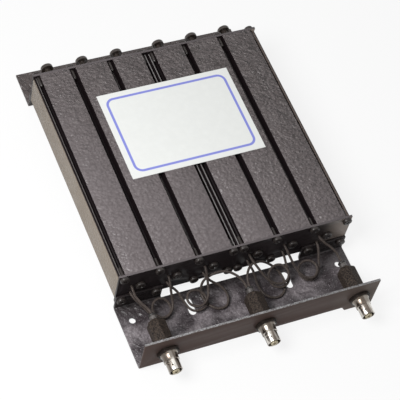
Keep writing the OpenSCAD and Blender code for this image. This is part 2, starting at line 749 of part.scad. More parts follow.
module jack_nuts() {
    color("#1f1c1d") for (x = jack_xs)
        translate([x, nut_y, jack_z]) difference() {
            hex_blank(jack_nut_af, jack_nut_t, nut_chamfer, nut_chamfer);
            rod(collar_d, 0, -cut, 0, jack_nut_t + 2 * cut);
        }
}

module jack_washers() {
    color("#1f1c1d") for (x = jack_xs)
        difference() {
            rod(jack_washer_d, x, washer_y, jack_z, jack_washer_t);
            rod(collar_d, x, washer_y - cut, jack_z, jack_washer_t + 2 * cut);
        }
}

// Short sleeve behind each jack's neck, with a rim where the cable enters
module jack_ferrules() {
    color("#8d8985") for (x = jack_xs)
        turned(x, neck_y, jack_z)
            polygon([[0, 0], [ferrule_d / 2, 0], [ferrule_d / 2, ferrule_l - ferrule_rim_l],
                [ferrule_d / 2 + ferrule_rim, ferrule_l - ferrule_rim_l / 2],
                [ferrule_d / 2, ferrule_l], [0, ferrule_l]]);
}

function unit(v) = v / norm(v);
function square_to(v, t) = unit(v - (v * t) * t);

// Directions of a jumper at its points: square to the end plate or jack at both ends
function headings(p) = let (last = len(p) - 1) [for (i = [0:last])
    i == 0 || i == last ? [0, sign(p[min(i + 1, last)][1] - p[max(i - 1, 0)][1]), 0]
    : unit(p[i + 1] - p[i - 1])];

// Sideways direction of each ring, turned as little as possible from the one before
function sideways(t) = [for (i = 0, s = [0, 0, 1]; i < len(t); i = i + 1,
    s = i < len(t) ? square_to(s, t[i]) : s) s];

function ring(c, s, t) = [for (k = [0:cable_sides - 1])
    let (a = k * 360 / cable_sides)
    c + cable_d / 2 * (cos(a) * s + sin(a) * cross(t, s))];

// Jumper swept along its route
module coax(route) {
    last = len(route) - 1;
    turns = headings(route);
    sides = sideways(turns);
    points = [for (i = [0:last]) each ring(route[i], sides[i], turns[i])];
    walls = [for (i = [0:last - 1], k = [0:cable_sides - 1])
        let (a = i * cable_sides + k, b = i * cable_sides + (k + 1) % cable_sides)
        [a, b, b + cable_sides, a + cable_sides]];
    start = [for (k = [cable_sides - 1:-1:0]) k];
    end = [for (k = [0:cable_sides - 1]) last * cable_sides + k];
    color("#5f554e") translate([0, front_y, 0])
        polyhedron(points, concat(walls, [start, end]));
}

extrusion(0);  // left_cavity_extrusion
extrusion(1);  // right_cavity_extrusion
front_end_plate();
rear_end_plate();
front_bracket();
rear_bracket();
label_plate();
front_plate_screws();
rear_plate_screws();
resonator_screws();
resonator(0);  // resonator_1
resonator(1);  // resonator_2
resonator(2);  // resonator_3
resonator(3);  // resonator_4
resonator(4);  // resonator_5
resonator(5);  // resonator_6
coupling_loops();
tuning_bushings();
tuning_slug(0);  // tuning_slug_1
tuning_slug(1);  // tuning_slug_2
tuning_slug(2);  // tuning_slug_3
tuning_slug(3);  // tuning_slug_4
tuning_slug(4);  // tuning_slug_5
tuning_slug(5);  // tuning_slug_6
tuning_screw(0);  // tuning_screw_1
tuning_screw(1);  // tuning_screw_2
tuning_screw(2);  // tuning_screw_3
tuning_screw(3);  // tuning_screw_4
tuning_screw(4);  // tuning_screw_5
tuning_screw(5);  // tuning_screw_6
lock_nut(0);  // lock_nut_1
lock_nut(1);  // lock_nut_2
lock_nut(2);  // lock_nut_3
lock_nut(3);  // lock_nut_4
lock_nut(4);  // lock_nut_5
lock_nut(5);  // lock_nut_6
jack_shell(0);  // jack_1_shell
jack_shell(1);  // jack_2_shell
jack_shell(2);  // jack_3_shell
jack_hex_body(0);  // jack_1_hex_body
jack_hex_body(1);  // jack_2_hex_body
jack_hex_body(2);  // jack_3_hex_body
jack_insulator(0);  // jack_1_insulator
jack_insulator(1);  // jack_2_insulator
jack_insulator(2);  // jack_3_insulator
jack_contact(0);  // jack_1_contact
jack_contact(1);  // jack_2_contact
jack_contact(2);  // jack_3_contact
jack_nuts();
jack_washers();
jack_ferrules();
coax(route_1);  // coax_1
coax(route_2);  // coax_2
coax(route_3);  // coax_3
coax(route_4);  // coax_4
coax(route_5);  // coax_5
coax(route_6);  // coax_6
coax(route_7);  // coax_7
coax(route_8);  // coax_8
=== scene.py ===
import itertools
import json
import math

import bmesh
import bpy
from mathutils import Matrix, Vector


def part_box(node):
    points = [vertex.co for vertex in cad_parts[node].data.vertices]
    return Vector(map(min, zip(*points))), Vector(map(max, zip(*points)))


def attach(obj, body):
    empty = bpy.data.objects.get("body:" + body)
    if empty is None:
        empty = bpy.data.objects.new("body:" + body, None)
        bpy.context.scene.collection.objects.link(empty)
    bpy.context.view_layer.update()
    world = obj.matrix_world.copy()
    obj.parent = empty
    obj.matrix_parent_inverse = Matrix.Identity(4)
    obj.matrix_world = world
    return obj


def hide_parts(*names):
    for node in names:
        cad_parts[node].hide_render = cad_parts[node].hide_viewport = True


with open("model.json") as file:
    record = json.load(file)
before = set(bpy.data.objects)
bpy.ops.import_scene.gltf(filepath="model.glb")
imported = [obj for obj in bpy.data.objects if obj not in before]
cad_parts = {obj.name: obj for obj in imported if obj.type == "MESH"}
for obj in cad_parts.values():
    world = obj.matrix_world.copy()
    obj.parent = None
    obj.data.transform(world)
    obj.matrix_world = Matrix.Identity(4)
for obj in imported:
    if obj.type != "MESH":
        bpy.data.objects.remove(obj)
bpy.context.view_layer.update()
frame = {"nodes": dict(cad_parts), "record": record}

MM = 0.001
HOUSING = "housing"

# Camera: its place round the target in degrees and metres, its lens and sensor in
# millimetres, and the nearest and farthest that it sees in metres
CAMERA_AZIMUTH = -35.25
CAMERA_ELEVATION = 54.78
CAMERA_ROLL = 15.81
CAMERA_DISTANCE = 1.1794
CAMERA_TARGET = (-0.00572, -0.01892, 0.0246)
CAMERA_LENS = 148.86
CAMERA_SENSOR = 36
CAMERA_REACH = (0.05, 20)

# Jumpers: diameter, segments of a quarter of their section, steps between two points, and
# routes in millimetres from the front end plate's outer face
JUMPER_D, JUMPER_SEGMENTS, JUMPER_STEPS = 1.8, 4, 5
ROUTES = {
    "coax_1": [
        (-78.4, 6, 24.8), (-78.4, 3.8, 24.8), (-78.4, 1.6, 24.8), (-78.4, -0.6, 24.6),
        (-78.4, -2.6, 24), (-78.2, -4.4, 23), (-77.8, -6.2, 21.8), (-77, -7.8, 20.7),
        (-76, -9.6, 19.7), (-75, -11.2, 18.8), (-73.8, -12.8, 17.9), (-72.5, -14.4, 17.2),
        (-71.4, -16, 16.6), (-70.6, -18, 16.2), (-70.3, -21, 16.1)],
    "coax_2": [
        (-51, 6, 24.8), (-51, 1.6, 24.8), (-51, -2.2, 24), (-51, -5.2, 21),
        (-50.8, -7.4, 17), (-50.5, -9.8, 13), (-50.6, -12.8, 9.8), (-51.8, -16.4, 7.8),
        (-55, -19.6, 6.8), (-59.2, -21, 6.6), (-63.2, -19.4, 7), (-65.4, -15.8, 7.6),
        (-65, -11.4, 8.4), (-61.8, -8, 9), (-57.4, -7, 8.6), (-53.6, -8.8, 7.4),
        (-51.8, -12.4, 5.6), (-52.6, -16.6, 4.2), (-56, -19.6, 3.6), (-60.4, -20, 3.6),
        (-64.6, -17.8, 4.2), (-68, -14, 5.8), (-70.8, -10.4, 8.2), (-73.8, -7, 11),
        (-76.4, -4.8, 13.8), (-77.9, -2.2, 15.9), (-78.4, 1.6, 16.4), (-78.4, 6, 16.4)],
    "coax_3": [
        (-23.5, 6, 24.8), (-23.5, 1.6, 24.8), (-23.5, -2.2, 24), (-23.3, -5, 21),
        (-23, -7.2, 17.2), (-23, -9.6, 13.6), (-23.6, -12.8, 10.8), (-25.2, -16.2, 9),
        (-28.4, -19.2, 8), (-32.6, -20.4, 7.6), (-36.8, -19, 8), (-39.4, -15.6, 8.6),
        (-38.9, -11.7, 9.2), (-36, -8.8, 9.6), (-31.4, -8.2, 9.2), (-27.4, -10.2, 8),
        (-25.4, -13.8, 6.6), (-26, -18, 5.6), (-29, -21, 5.2), (-33.2, -22, 5),
        (-37, -21.4, 5.3), (-39.9, -19, 6.2), (-41.6, -15.6, 7.5), (-43, -12, 9.2),
        (-44.4, -8.4, 11.2), (-46.4, -5.8, 13.2), (-48.6, -3.9, 14.9), (-50.3, -1.6, 16),
        (-51, 1.6, 16.4), (-51, 6, 16.4)],
    "coax_4": [
        (1.75, -21, 16.1), (1.4, -16.4, 16.5), (-0.4, -12.8, 17.8), (-3.6, -9.4, 19.2),
        (-7.6, -6.8, 20.2), (-12, -5.2, 20.4), (-16.6, -4.8, 19.8), (-20.6, -4.8, 17.8),
        (-23.6, -4.8, 14.8), (-25.4, -5.4, 10.8), (-26.2, -7, 7), (-26.4, -10.2, 4.2),
        (-26, -14.2, 3), (-24.6, -18, 2.8), (-21.6, -21.8, 2.8), (-17.2, -24, 2.8),
        (-12.7, -23.3, 3), (-9.8, -19.8, 3.6), (-9.2, -15.4, 4.8), (-10.7, -11.6, 6.6),
        (-13.8, -8.4, 8.6), (-17.6, -6.4, 10.8), (-20.6, -4.6, 13.2), (-22.7, -2.2, 15.4),
        (-23.5, 1.6, 16.4), (-23.5, 6, 16.4)],
    "coax_5": [
        (4.05, -21, 16.1), (4.2, -16.4, 16.6), (5.2, -12.6, 17.8), (7.4, -8.8, 18.8),
        (10.8, -5.8, 19.2), (14.8, -4.2, 18.8), (18.8, -3.8, 17.2), (22.8, -3.8, 14.6),
        (26.6, -4.4, 11.4), (30.2, -5.8, 8.2), (33.2, -8.4, 5.6), (35, -12.2, 3.8),
        (35.4, -16.6, 3), (34.2, -21, 2.8), (31.6, -24.8, 2.8), (27.6, -27.2, 2.8),
        (23, -27.2, 2.8), (19.2, -24.8, 2.8), (16.6, -21, 3), (15.2, -16.6, 3.8),
        (14.8, -12.2, 5.4), (14.5, -8.6, 8), (13.7, -6.4, 10.8), (12.4, -4.6, 13.4),
        (11.1, -2.2, 15.5), (10.5, 1.6, 16.4), (10.5, 6, 16.4)],
    "coax_6": [
        (10.5, 6, 24.8), (10.5, 1.6, 24.8), (10.7, -2.2, 24.3), (12, -5.4, 22.6),
        (14, -8.6, 20), (16.4, -12, 17), (19, -15.2, 14), (22, -17.8, 11.4),
        (25.6, -19.6, 9.4), (29.8, -20.6, 8.4), (34.2, -19.8, 8.4), (37.4, -17, 9),
        (38.4, -13, 10), (36.8, -9.2, 11), (33, -7.2, 11.6), (28.6, -7.6, 11.2),
        (25, -10, 9.8), (23.4, -14, 8.2), (24.4, -18.2, 6.6), (27.6, -21, 5.6),
        (32, -21.8, 5.4), (35.9, -20.4, 5.8), (38.3, -17, 6.8), (39, -13.4, 7.8),
        (39.3, -10.2, 9.1), (39.1, -7, 11.2), (38.8, -4.4, 13.6), (38.3, -1.8, 15.7),
        (38, 1.6, 16.4), (38, 6, 16.4)],
    "coax_7": [
        (38, 6, 24.8), (38, 1.6, 24.8), (38.2, -2.2, 24.2), (39.2, -5.4, 22),
        (40.6, -8.8, 18.8), (42.2, -12.4, 15.4), (44.2, -16, 12.4), (47, -19.4, 10),
        (50.8, -21.8, 8.4), (55.2, -22.2, 7.8), (58.8, -19.8, 8), (60.6, -15.8, 8.8),
        (59.4, -11.6, 9.4), (55.8, -9, 9.4), (51.4, -9, 8.6), (48.2, -11.6, 7.2),
        (47.2, -15.8, 5.8), (49.2, -19.6, 4.6), (53, -21.8, 4.2), (57.4, -21.4, 4.4),
        (61, -18.6, 5.2), (63, -14.6, 7), (64.2, -10.4, 9.8), (65, -6.8, 12.8),
        (65.4, -3.6, 15.4), (65.4, -1, 16.3), (65.4, 1.6, 16.4), (65.4, 6, 16.4)],
    "coax_8": [
        (65.4, 6, 24.8), (65.4, 3.8, 24.8), (65.4, 1.6, 24.8), (65.5, -0.8, 24.6),
        (66, -2.8, 24.1), (67.1, -4.6, 23.3), (68.5, -6, 22.3), (70, -7.3, 21.3),
        (71.6, -8.7, 20.4), (73, -10.2, 19.5), (74.2, -11.8, 18.5), (75.2, -13.6, 17.6),
        (75.8, -15.6, 16.8), (76.1, -17.8, 16.2), (76.1, -21, 16.1)],
}

# Lamps: name, place and aim in metres, width, height and power in watts
LAMPS = [
    ("softbox_left", (-0.48, -0.12, 0.64), (0, 0, 0.02), 0.36, 0.36, 6.75),
    ("softbox_rear", (0.2, 0.8, 1.4), (0, 0, 0.02), 1.2, 1.0, 2)]
AMBIENT = 0.2
WHITE = (1, 1, 1, 1)
# Floor: size and drop under the object in metres, and how much of it glows white where seen
FLOOR_SIZE, FLOOR_DROP, FLOOR_GLOW = 6, 0.0002, 0.85
FLOOR_WHITE, FLOOR_ROUGHNESS = (0.86, 0.86, 0.86), 0.9

# Pan heads: rings of radius and height as shares of the head's own radius and height
PAN_RINGS = [(0.95, 0), (1, 0.06), (1, 0.58), (0.975, 0.76), (0.91, 0.89), (0.8, 0.965),
             (0.56, 1), (0.3, 1)]
# Cross recess: its bars' length, depth and width as shares of the head's radius, height and
# radius, and how much its floor keeps of the length and the width
RECESS_SHARES, RECESS_TAPER = (1.1, 1.2, 0.27), (0.5, 1, 0.45)
# Turn of each screw's cross recess in degrees, used in order and repeated
RECESS_TURNS = (18, 64, 35, 7, 52, 81, 27, 44, 70, 12, 58)
# Thread ridges: depth and the two edges of the crest as shares of the pitch
RIDGE_DEPTH, RIDGE_CREST = 0.45, (0.42, 0.58)
# Sides of turned pieces, contacts and pins, and the least cosine between a face that is
# picked and its axis
TURNED_SIDES, CONTACT_SIDES, PIN_SIDES, FACING = 48, 32, 24, 0.9
# Angles in degrees from which an edge stays sharp in the shading, is rounded, and is no part
# of a flat face, and the distance in metres under which two corners are one
SMOOTH_ANGLE, ROUNDED_ANGLE, FLAT_ANGLE, WELD_DISTANCE = 32, 35, 0.5, 1e-6

# Cells and jacks by number, and sizes of the pieces that take a CAD node's place, in
# millimetres and degrees
CELLS = range(1, 7)
JACKS = range(1, 4)
SCREW_XS = [-85, -59.05, -29.85, -3.9, 3.9, 29.85, 59.05, 85]
TAB_X = 54
SHEET_T = 1.6
HEAD_D, HEAD_H = 6.8, 2.4
SHANK_D, SCREW_L = 2.9, 9.5
TIP_STEP, TIP_L = 0.5, 1
RESONATOR_HEAD_D, RESONATOR_SHANK_D, RESONATOR_SCREW_L = 7.2, 4, 9.6
TUNING_D, TUNING_PITCH, TUNING_PLAIN_Y = 4.7, 0.794, 12.5
TUNING_THREAD_Y, TUNING_THREAD_END_Y = 12.2, 0.4
TUNING_HEAD_D, TUNING_HEAD_H = 9.3, 3.2
BARREL_D, BARREL_BORE_D, BARREL_BORE_L = 9.8, 8.3, 9
BARREL_ROOT_D, BARREL_ROOT_Y = 11.1, 8
COLLAR_D, COLLAR_Y, COLLAR_END_Y, SHELL_L = 12.7, 12.2, 17.4, 23.4
COLLAR_THREAD_Y, COLLAR_PITCH = 13.8, 0.45
LUG_D, LUG_H, LUG_Y, LUG_ANGLE, LUG_EDGE = 2, 0.75, 6, 55, 0.15
CROSS_HOLE_D, CROSS_HOLE_Y, CROSS_HOLE_ANGLE = 1, 3.4, 22
INSULATOR_D, INSULATOR_SEAT_Y = 5.4, 13
CONTACT_D, CONTACT_BORE_D = 2.2, 1.4
HEX_AF, HEX_L, HEX_EDGE, HEX_SIDES = 12.5, 22.4, 0.3, 6
JACK_FLANGE_D, NECK_D, NECK_L = 15.6, 7, 1.2
FERRULE_RINGS = [(2.6, 0), (2.7, 0.15), (2.7, 2.9), (2.55, 3.1), (2.55, 3.3), (2.9, 3.45),
                 (3.05, 3.7), (3.05, 4.3), (2.9, 4.6), (2.3, 4.8)]
# Rims of the jacks' pieces: how far each ring is off the rim in radius and along Y
ROOT_RIM, ROOT_SLOPE_L = [(0, 0), (-0.1, -0.15)], 0.4
MOUTH_RIM, BORE_RIM = [(0, 0.4), (-0.08, 0.15), (-0.26, 0)], [(0.2, 0), (0, 0.2)]
INSULATOR_RIM, INSULATOR_BORE_RIM = ([(0, -0.3), (-0.08, -0.5), (-0.25, -0.6)],
                                     [(0.15, -0.6), (0, -0.45)])
CONTACT_RIM, CONTACT_BORE_RIM = [(0, 0.75), (-0.12, 0.5)], [(0.1, 0.5), (0, 0.65)]
CONTACT_BORE_L, CONTACT_SINK = 5, 0.2
HEX_BACK_RIM, HEX_NOSE_RIM = [(-0.5, 0), (0, 0.5)], [(0, -1.9), (-0.45, -0.9), (-1.6, 0)]
FLANGE_RIMS = [(-0.3, 0), (0, 0.3), (0, 1.7), (-0.3, 2)]
NECK_ROOT, NECK_RIM = 2, [(0, -0.25), (-0.25, 0)]
# Room from the collar's thread to its plain part and to the root, and how far a tool
# reaches out of what it cuts
THREAD_GAPS, TOOL_REACH = (0.1, 0.3), 1

# CAD nodes shown with rounded edges: the piece's name and the rounding in millimetres
SOFTENED = {
    "left_cavity_extrusion": ("left_ribbed_body", 0.25),
    "right_cavity_extrusion": ("right_ribbed_body", 0.25),
    "front_end_plate": ("front_plate_painted", 0.2),
    "rear_end_plate": ("rear_plate_painted", 0.2),
    "front_bracket": ("front_bracket_painted", 0.25),
    "rear_bracket": ("rear_bracket_painted", 0.25),
    "jack_nuts": ("jack_nuts_rounded", 0.2),
}
LOCK_NUT_EDGE = 0.2

# Wrinkle paint: share and smoothness of its round cells, size, detail and distortion of the
# noise over them, and sizes of its wide dents and bright specks, all these sizes as shares of
# the lumps' size. Then the range of height over which it pales, a painted highlight on the
# lumps' tops and painted shade in their hollows, the noise range of its specks, which are
# painted glints, and the size in millimetres and the spread of its sheen
CELL_SHARE, CELL_SMOOTHNESS = 0.55, 0.6
RIDGE_SIZE, RIDGE_DETAIL, RIDGE_DISTORTION = 0.8, 2.5, 0.6
DENT_SIZE, GLINT_SIZE = 3, 0.5
LUMP_SHADING, GLINT_RANGE = (0.6, 1.15), (0.66, 0.74)
SHEEN_SIZE, SHEEN_SPREAD = 16, 0.3
# Metal: detail of its tone, size of its relief as a share of the tone's, noise range over
# which it pales, and spread of its sheen
TONE_DETAIL, RELIEF_SIZE = 3, 0.7
METAL_PALING, METAL_SHEEN_SPREAD = (0.3, 0.7), 0.16

# Extrusions: heights of the strips' faces and half width over the side walls, and how far
# inside a face its paint starts and is full, in millimetres
TOP_Z, UNDER_Z, HALF_W = 39.6, 7.85, 88.9
STRIP_EDGE, WALL_EDGE = (0.4, 0.15), (0.6, 0.2)
# Painted shade: the near black colour inside the grooves stands for the shade there, with its
# gloss
GROOVE_SHADE, GROOVE_GLOSS = (0.008, 0.0055, 0.0062), 0.06
# Painted reflection: the pale warm colour of the side walls stands for the pale floor mirrored in
# them, with their gloss
SIDE_REFLECTION, SIDE_GLOSS = (0.2, 0.166, 0.132), 0.22
# Strips towards the rear right, where a darker brown is painted shade for the light falling
# off: how much X counts beside Y, range in metres, share of that brown, and how much of the
# wrinkles' height is left at the front left
REAR_SLANT, REAR_RANGE, REAR_SHADE_SHARE, FRONT_RELIEF = 0.8, (-0.06, 0.1), 0.65, 0.4
# Brown of the strips' painted shade at the rear right, also used as the rear bracket's brown
REAR_BROWN_AND_SHADE = (0.062, 0.048, 0.046)
# Creases there: size in millimetres, distortion, stretch, turn in degrees, and two noise
# ranges with the colours of the furrows, a painted shade, and of the ridges, a painted highlight
CREASE_SIZE, CREASE_DISTORTION, CREASE_STRETCH, CREASE_TURN = 2.4, 1.2, (3, 1, 1), -40
CREASE_SHADING = (((0.46, 0.36), (0.035, 0.027, 0.026)), ((0.57, 0.68), (0.14, 0.122, 0.12)))
# Painted highlight lines along the extrusions, where the lips' edges and the screw channels
# catch the light: places in X and Z, half widths and blur in millimetres
LIP_X, SIDE_LIP_X, LIP_Z = 1.55, 86.9, 36.8
CHANNEL_LINE_X, CHANNEL_LINE_Z = 0.9, 35
LIP_HALF, LEFT_LIP_HALF, RIGHT_LIP_HALF, LINE_BLUR = 0.34, 0.3, 0.8, 0.1
# Colours of these painted highlights
LIP_HIGHLIGHT, EDGE_HIGHLIGHT, RIGHT_LIP_HIGHLIGHT = (0.21, 0.2, 0.197), (0.13, 0.12, 0.117), (0.14, 0.112, 0.1)

# Brackets: size and noise range of the front floor's clouds, a painted reflection, and their
# grain, and places in metres between which the rear's look turns to the front's and the dark
# fold, a painted shade, turns to the clouds
CLOUD_SIZE, CLOUD_RANGE, CLOUD_REFLECTION = 15, (0.4, 0.66), (0.25, 0.222, 0.234)
GRAIN_SIZE, GRAIN_RANGE = 1.3, (0.05, 0.75)
FRONT_RANGE, CLOUD_PLACES, FOLD_SHADE_SHARE = (0.02, -0.02), (-0.073, -0.09), 0.8
# How much higher the rear bracket's lumps are than the front one's
REAR_RELIEF = 2.4
# Tabs: rise over the floor in millimetres where their black, a painted shade, starts and is
# full; the same black is the painted shade at the front floor's fold
TAB_RISE, TAB_SHADE_BLACK, TAB_GLOSS = (0.6, 1.4), (0.02, 0.0158, 0.016), 0.25
# Connector panel, and the speckled grey along the rim at its top, a painted highlight broken into
# glints
PANEL_BROWN, PANEL_GLOSS, PANEL_ROUGHNESS = (0.08, 0.054, 0.047), 0.1, 0.55
RIM_Z, RIM_EDGE, RIM_HIGHLIGHT = 33.1, (0.35, 0.1), (0.3, 0.3, 0.305)
RIM_GLINT_SIZE, RIM_GLINT_RANGE = 0.8, (0.25, 0.65)

# Right end: where a painted glare, standing for a reflection, starts in X and its colour, and
# the paler painted glare at the end of the end plates
GLARE_START_X, END_GLARE = 52, (0.155, 0.127, 0.109)
PALE_GLARE_XS, PALE_GLARE = (68, 85), (0.36, 0.305, 0.27)
# Painted highlight along the end plates' top edge: depths where it starts and is full, and its
# colour
PLATE_RIM_EDGE, PLATE_RIM_HIGHLIGHT = (0.25, 0.1), (0.1, 0.087, 0.09)

# Label's border: distance from the edge, corner radius and width in millimetres, and blur
# as a share of half the width
BORDER_INSET, BORDER_CORNER, BORDER_WIDTH, BORDER_BLUR = 5.2, 5.5, 1.9, 0.15
BORDER_BLUE = (0.22, 0.245, 0.66)

# Jacks: black band of the ferrules, painted dark reflections on the barrels in long streaks,
# and painted shade at their root by the panel
FERRULE_BAND_Y, BAND_BLUR, BAND_BLACK = 3.2, 0.1, (0.018, 0.015, 0.014)
STREAK_SIZE, STREAK_STRETCH, STREAK_RANGE = 3.4, (1, 17, 1), (0.42, 0.6)
STREAK_REFLECTION, ROOT_SHADE = (0.15, 0.125, 0.105), (0.13, 0.105, 0.085)
ROOT_BLUR, ROOT_SHADE_SHARE = 0.6, 0.75

SLOTS = {part["node"]: part["material_slot"] for part in frame["record"]["subparts"]}


def middle(node):
    """Middle of a CAD node's box."""
    low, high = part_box(node)
    return (low + high) / 2


def add_camera():
    """Stands the camera where the photograph's stood."""
    azimuth = math.radians(CAMERA_AZIMUTH)
    elevation = math.radians(CAMERA_ELEVATION)
    bpy.ops.object.camera_add()
    camera = bpy.context.object
    camera.name = "camera"
    turn = (Matrix.Rotation(azimuth, 4, "Z")
            @ Matrix.Rotation(math.pi / 2 - elevation, 4, "X")
            @ Matrix.Rotation(math.radians(CAMERA_ROLL), 4, "Z"))
    place = Vector(CAMERA_TARGET) + turn @ Vector((0, 0, CAMERA_DISTANCE))
    camera.matrix_world = Matrix.Translation(place) @ turn
    camera.data.sensor_width = CAMERA_SENSOR
    camera.data.lens = CAMERA_LENS
    camera.data.clip_start, camera.data.clip_end = CAMERA_REACH
    bpy.context.scene.camera = camera


def add_jumper(node):
    """A jumper as a round curve through its route's points."""
    plate_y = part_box("front_end_plate")[0].y
    points = [Vector((x, y, z)) * MM + Vector((0, plate_y, 0)) for x, y, z in ROUTES[node]]
    curve = bpy.data.curves.new("jumper_" + node[-1], "CURVE")
    curve.dimensions = "3D"
    curve.bevel_depth = JUMPER_D * MM / 2
    curve.bevel_resolution = JUMPER_SEGMENTS
    curve.resolution_u = JUMPER_STEPS
    curve.use_fill_caps = True
    spline = curve.splines.new("BEZIER")
    spline.bezier_points.add(len(points) - 1)
    for knot, point in zip(spline.bezier_points, points):
        knot.co = point
        knot.handle_left_type = knot.handle_right_type = "AUTO"
    jumper = bpy.data.objects.new("jumper_" + node[-1], curve)
    bpy.context.scene.collection.objects.link(jumper)
    jumper.data.materials.append(MATERIALS["jumper_jacket"])
    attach(jumper, HOUSING)
    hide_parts(node)


def new_material(name, color, roughness, metallic=0.0, specular=0.5):
    """A material with its plain values on the shader's own sockets."""
    material = bpy.data.materials.new(name)
    material.use_nodes = True
    shader = material.node_tree.nodes["Principled BSDF"]
    shader.inputs["Base Color"].default_value = (*color, 1)
    shader.inputs["Roughness"].default_value = roughness
    shader.inputs["Metallic"].default_value = metallic
    shader.inputs["Specular IOR Level"].default_value = specular
    return material


def value(tree, operation, first, second=None, third=None):
    """Result of one sum on sockets or plain numbers."""
    node = tree.nodes.new("ShaderNodeMath")
    node.operation = operation
    for socket, term in zip(node.inputs, (first, second, third)):
        if isinstance(term, (int, float)):
            socket.default_value = term
        elif term is not None:
            tree.links.new(term, socket)
    return node.outputs["Value"]


def noise(tree, size, detail=2.0, distortion=0.0, stretch=(1, 1, 1), turn=0.0):
    """Soft noise on the piece's own coordinates, its lumps about size millimetres wide,
    stretched along the axes and then turned about Z by an angle in degrees."""
    node = tree.nodes.new("ShaderNodeTexNoise")
    node.inputs["Scale"].default_value = 1 / (size * MM)
    node.inputs["Detail"].default_value = detail
    node.inputs["Distortion"].default_value = distortion
    place = tree.nodes.new("ShaderNodeTexCoord").outputs["Object"]
    mapping = tree.nodes.new("ShaderNodeMapping")
    mapping.vector_type = "TEXTURE"
    mapping.inputs["Scale"].default_value = stretch
    mapping.inputs["Rotation"].default_value[2] = math.radians(turn)
    tree.links.new(place, mapping.inputs["Vector"])
    tree.links.new(mapping.outputs["Vector"], node.inputs["Vector"])
    return node.outputs["Fac"]


def along_axes(tree):
    """The piece's own X, Y and Z as three sockets."""
    parts = tree.nodes.new("ShaderNodeSeparateXYZ")
    place = tree.nodes.new("ShaderNodeTexCoord").outputs["Object"]
    tree.links.new(place, parts.inputs["Vector"])
    return parts.outputs["X"], parts.outputs["Y"], parts.outputs["Z"]


def soften_bump(tree, strength):
    """Lets a socket set how strongly the bump shows."""
    for node in tree.nodes:
        if node.bl_idname == "ShaderNodeBump":
            tree.links.new(strength, node.inputs["Strength"])


def change_where(tree, name, share, amount):
    """Gives one of the shader's sockets another amount where share is one."""
    socket = tree.nodes["Principled BSDF"].inputs[name]
    under = socket.links[0].from_socket if socket.is_linked else socket.default_value
    change = value(tree, "SUBTRACT", amount, under)
    tree.links.new(value(tree, "MULTIPLY_ADD", change, share, under), socket)


def recolor(tree, share, color):
    """Paints a further colour over the base colour where share is one."""
    socket = tree.nodes["Principled BSDF"].inputs["Base Color"]
    under = socket.links[0].from_socket
    tree.links.new(blend_color(tree, share, under, color), socket)


def cells(tree, size):
    """Rounded cells about size millimetres wide, high at their middles."""
    node = tree.nodes.new("ShaderNodeTexVoronoi")
    node.feature = "SMOOTH_F1"
    node.inputs["Scale"].default_value = 1 / (size * MM)
    node.inputs["Smoothness"].default_value = CELL_SMOOTHNESS
    place = tree.nodes.new("ShaderNodeTexCoord").outputs["Object"]
    tree.links.new(place, node.inputs["Vector"])
    return value(tree, "SUBTRACT", 1, node.outputs["Distance"])


def between(tree, source, low, high):
    """Zero where source is at low or under, one at high or over, and a ramp between."""
    node = tree.nodes.new("ShaderNodeMapRange")
    node.inputs["From Min"].default_value = low
    node.inputs["From Max"].default_value = high
    tree.links.new(source, node.inputs["Value"])
    return node.outputs["Result"]


def near_face(tree, source, face, edge, way=1):
    """Zero inside a face, and one from close under it outwards. The edge holds how deep in
    millimetres the change starts and ends, and way is the direction the face looks in."""
    return between(tree, source, *[(face - way * inset) * MM for inset in edge])


def blend_color(tree, share, first, second):
    """Colour that goes from first to second with share."""
    node = tree.nodes.new("ShaderNodeMix")
    node.data_type = "RGBA"
    for socket, color in ((node.inputs["A"], first), (node.inputs["B"], second)):
        if isinstance(color, tuple):
            socket.default_value = (*color, 1)
        else:
            tree.links.new(color, socket)
    tree.links.new(share, node.inputs["Factor"])
    return node.outputs["Result"]


def raise_surface(tree, height, depth):
    """Bump of depth millimetres from a height."""
    bump = tree.nodes.new("ShaderNodeBump")
    bump.inputs["Strength"].default_value = 1
    bump.inputs["Distance"].default_value = depth * MM
    tree.links.new(height, bump.inputs["Height"])
    tree.links.new(bump.outputs["Normal"], tree.nodes["Principled BSDF"].inputs["Normal"])


def wrinkled(name, dark, light, size, depth, roughness, specular=0.5, glints=None, swell=0,
             stretch=(1, 1, 1)):
    """Wrinkle paint: lumps of the size in millimetres, paler on their tops and darker in their
    hollows as painted light and shade, with a sheen that wanders over a few centimetres, and
    where asked bright specks that are painted glints, wide dents and lumps stretched along
    the axes."""
    material = new_material(name, dark, roughness, specular=specular)
    tree = material.node_tree
    shader = tree.nodes["Principled BSDF"]
    lumps = value(tree, "MULTIPLY_ADD", cells(tree, size), CELL_SHARE,
                  noise(tree, size * RIDGE_SIZE, RIDGE_DETAIL, RIDGE_DISTORTION, stretch))
    dents = noise(tree, size * DENT_SIZE, detail=1)
    height = value(tree, "MULTIPLY_ADD", dents, swell, lumps)
    raise_surface(tree, height, depth)
    # Painted light and shade: the lumps' tops paler and their hollows darker
    color = blend_color(tree, between(tree, lumps, *LUMP_SHADING), dark, light)
    # Painted glints: bright specks where the facets would catch the light
    if glints:
        points = between(tree, noise(tree, size * GLINT_SIZE, detail=1), *GLINT_RANGE)
        color = blend_color(tree, points, color, glints)
    tree.links.new(color, shader.inputs["Base Color"])
    sheen = value(tree, "MULTIPLY_ADD", noise(tree, SHEEN_SIZE, detail=1), SHEEN_SPREAD,
                  roughness - SHEEN_SPREAD / 2)
    tree.links.new(sheen, shader.inputs["Roughness"])
    return material


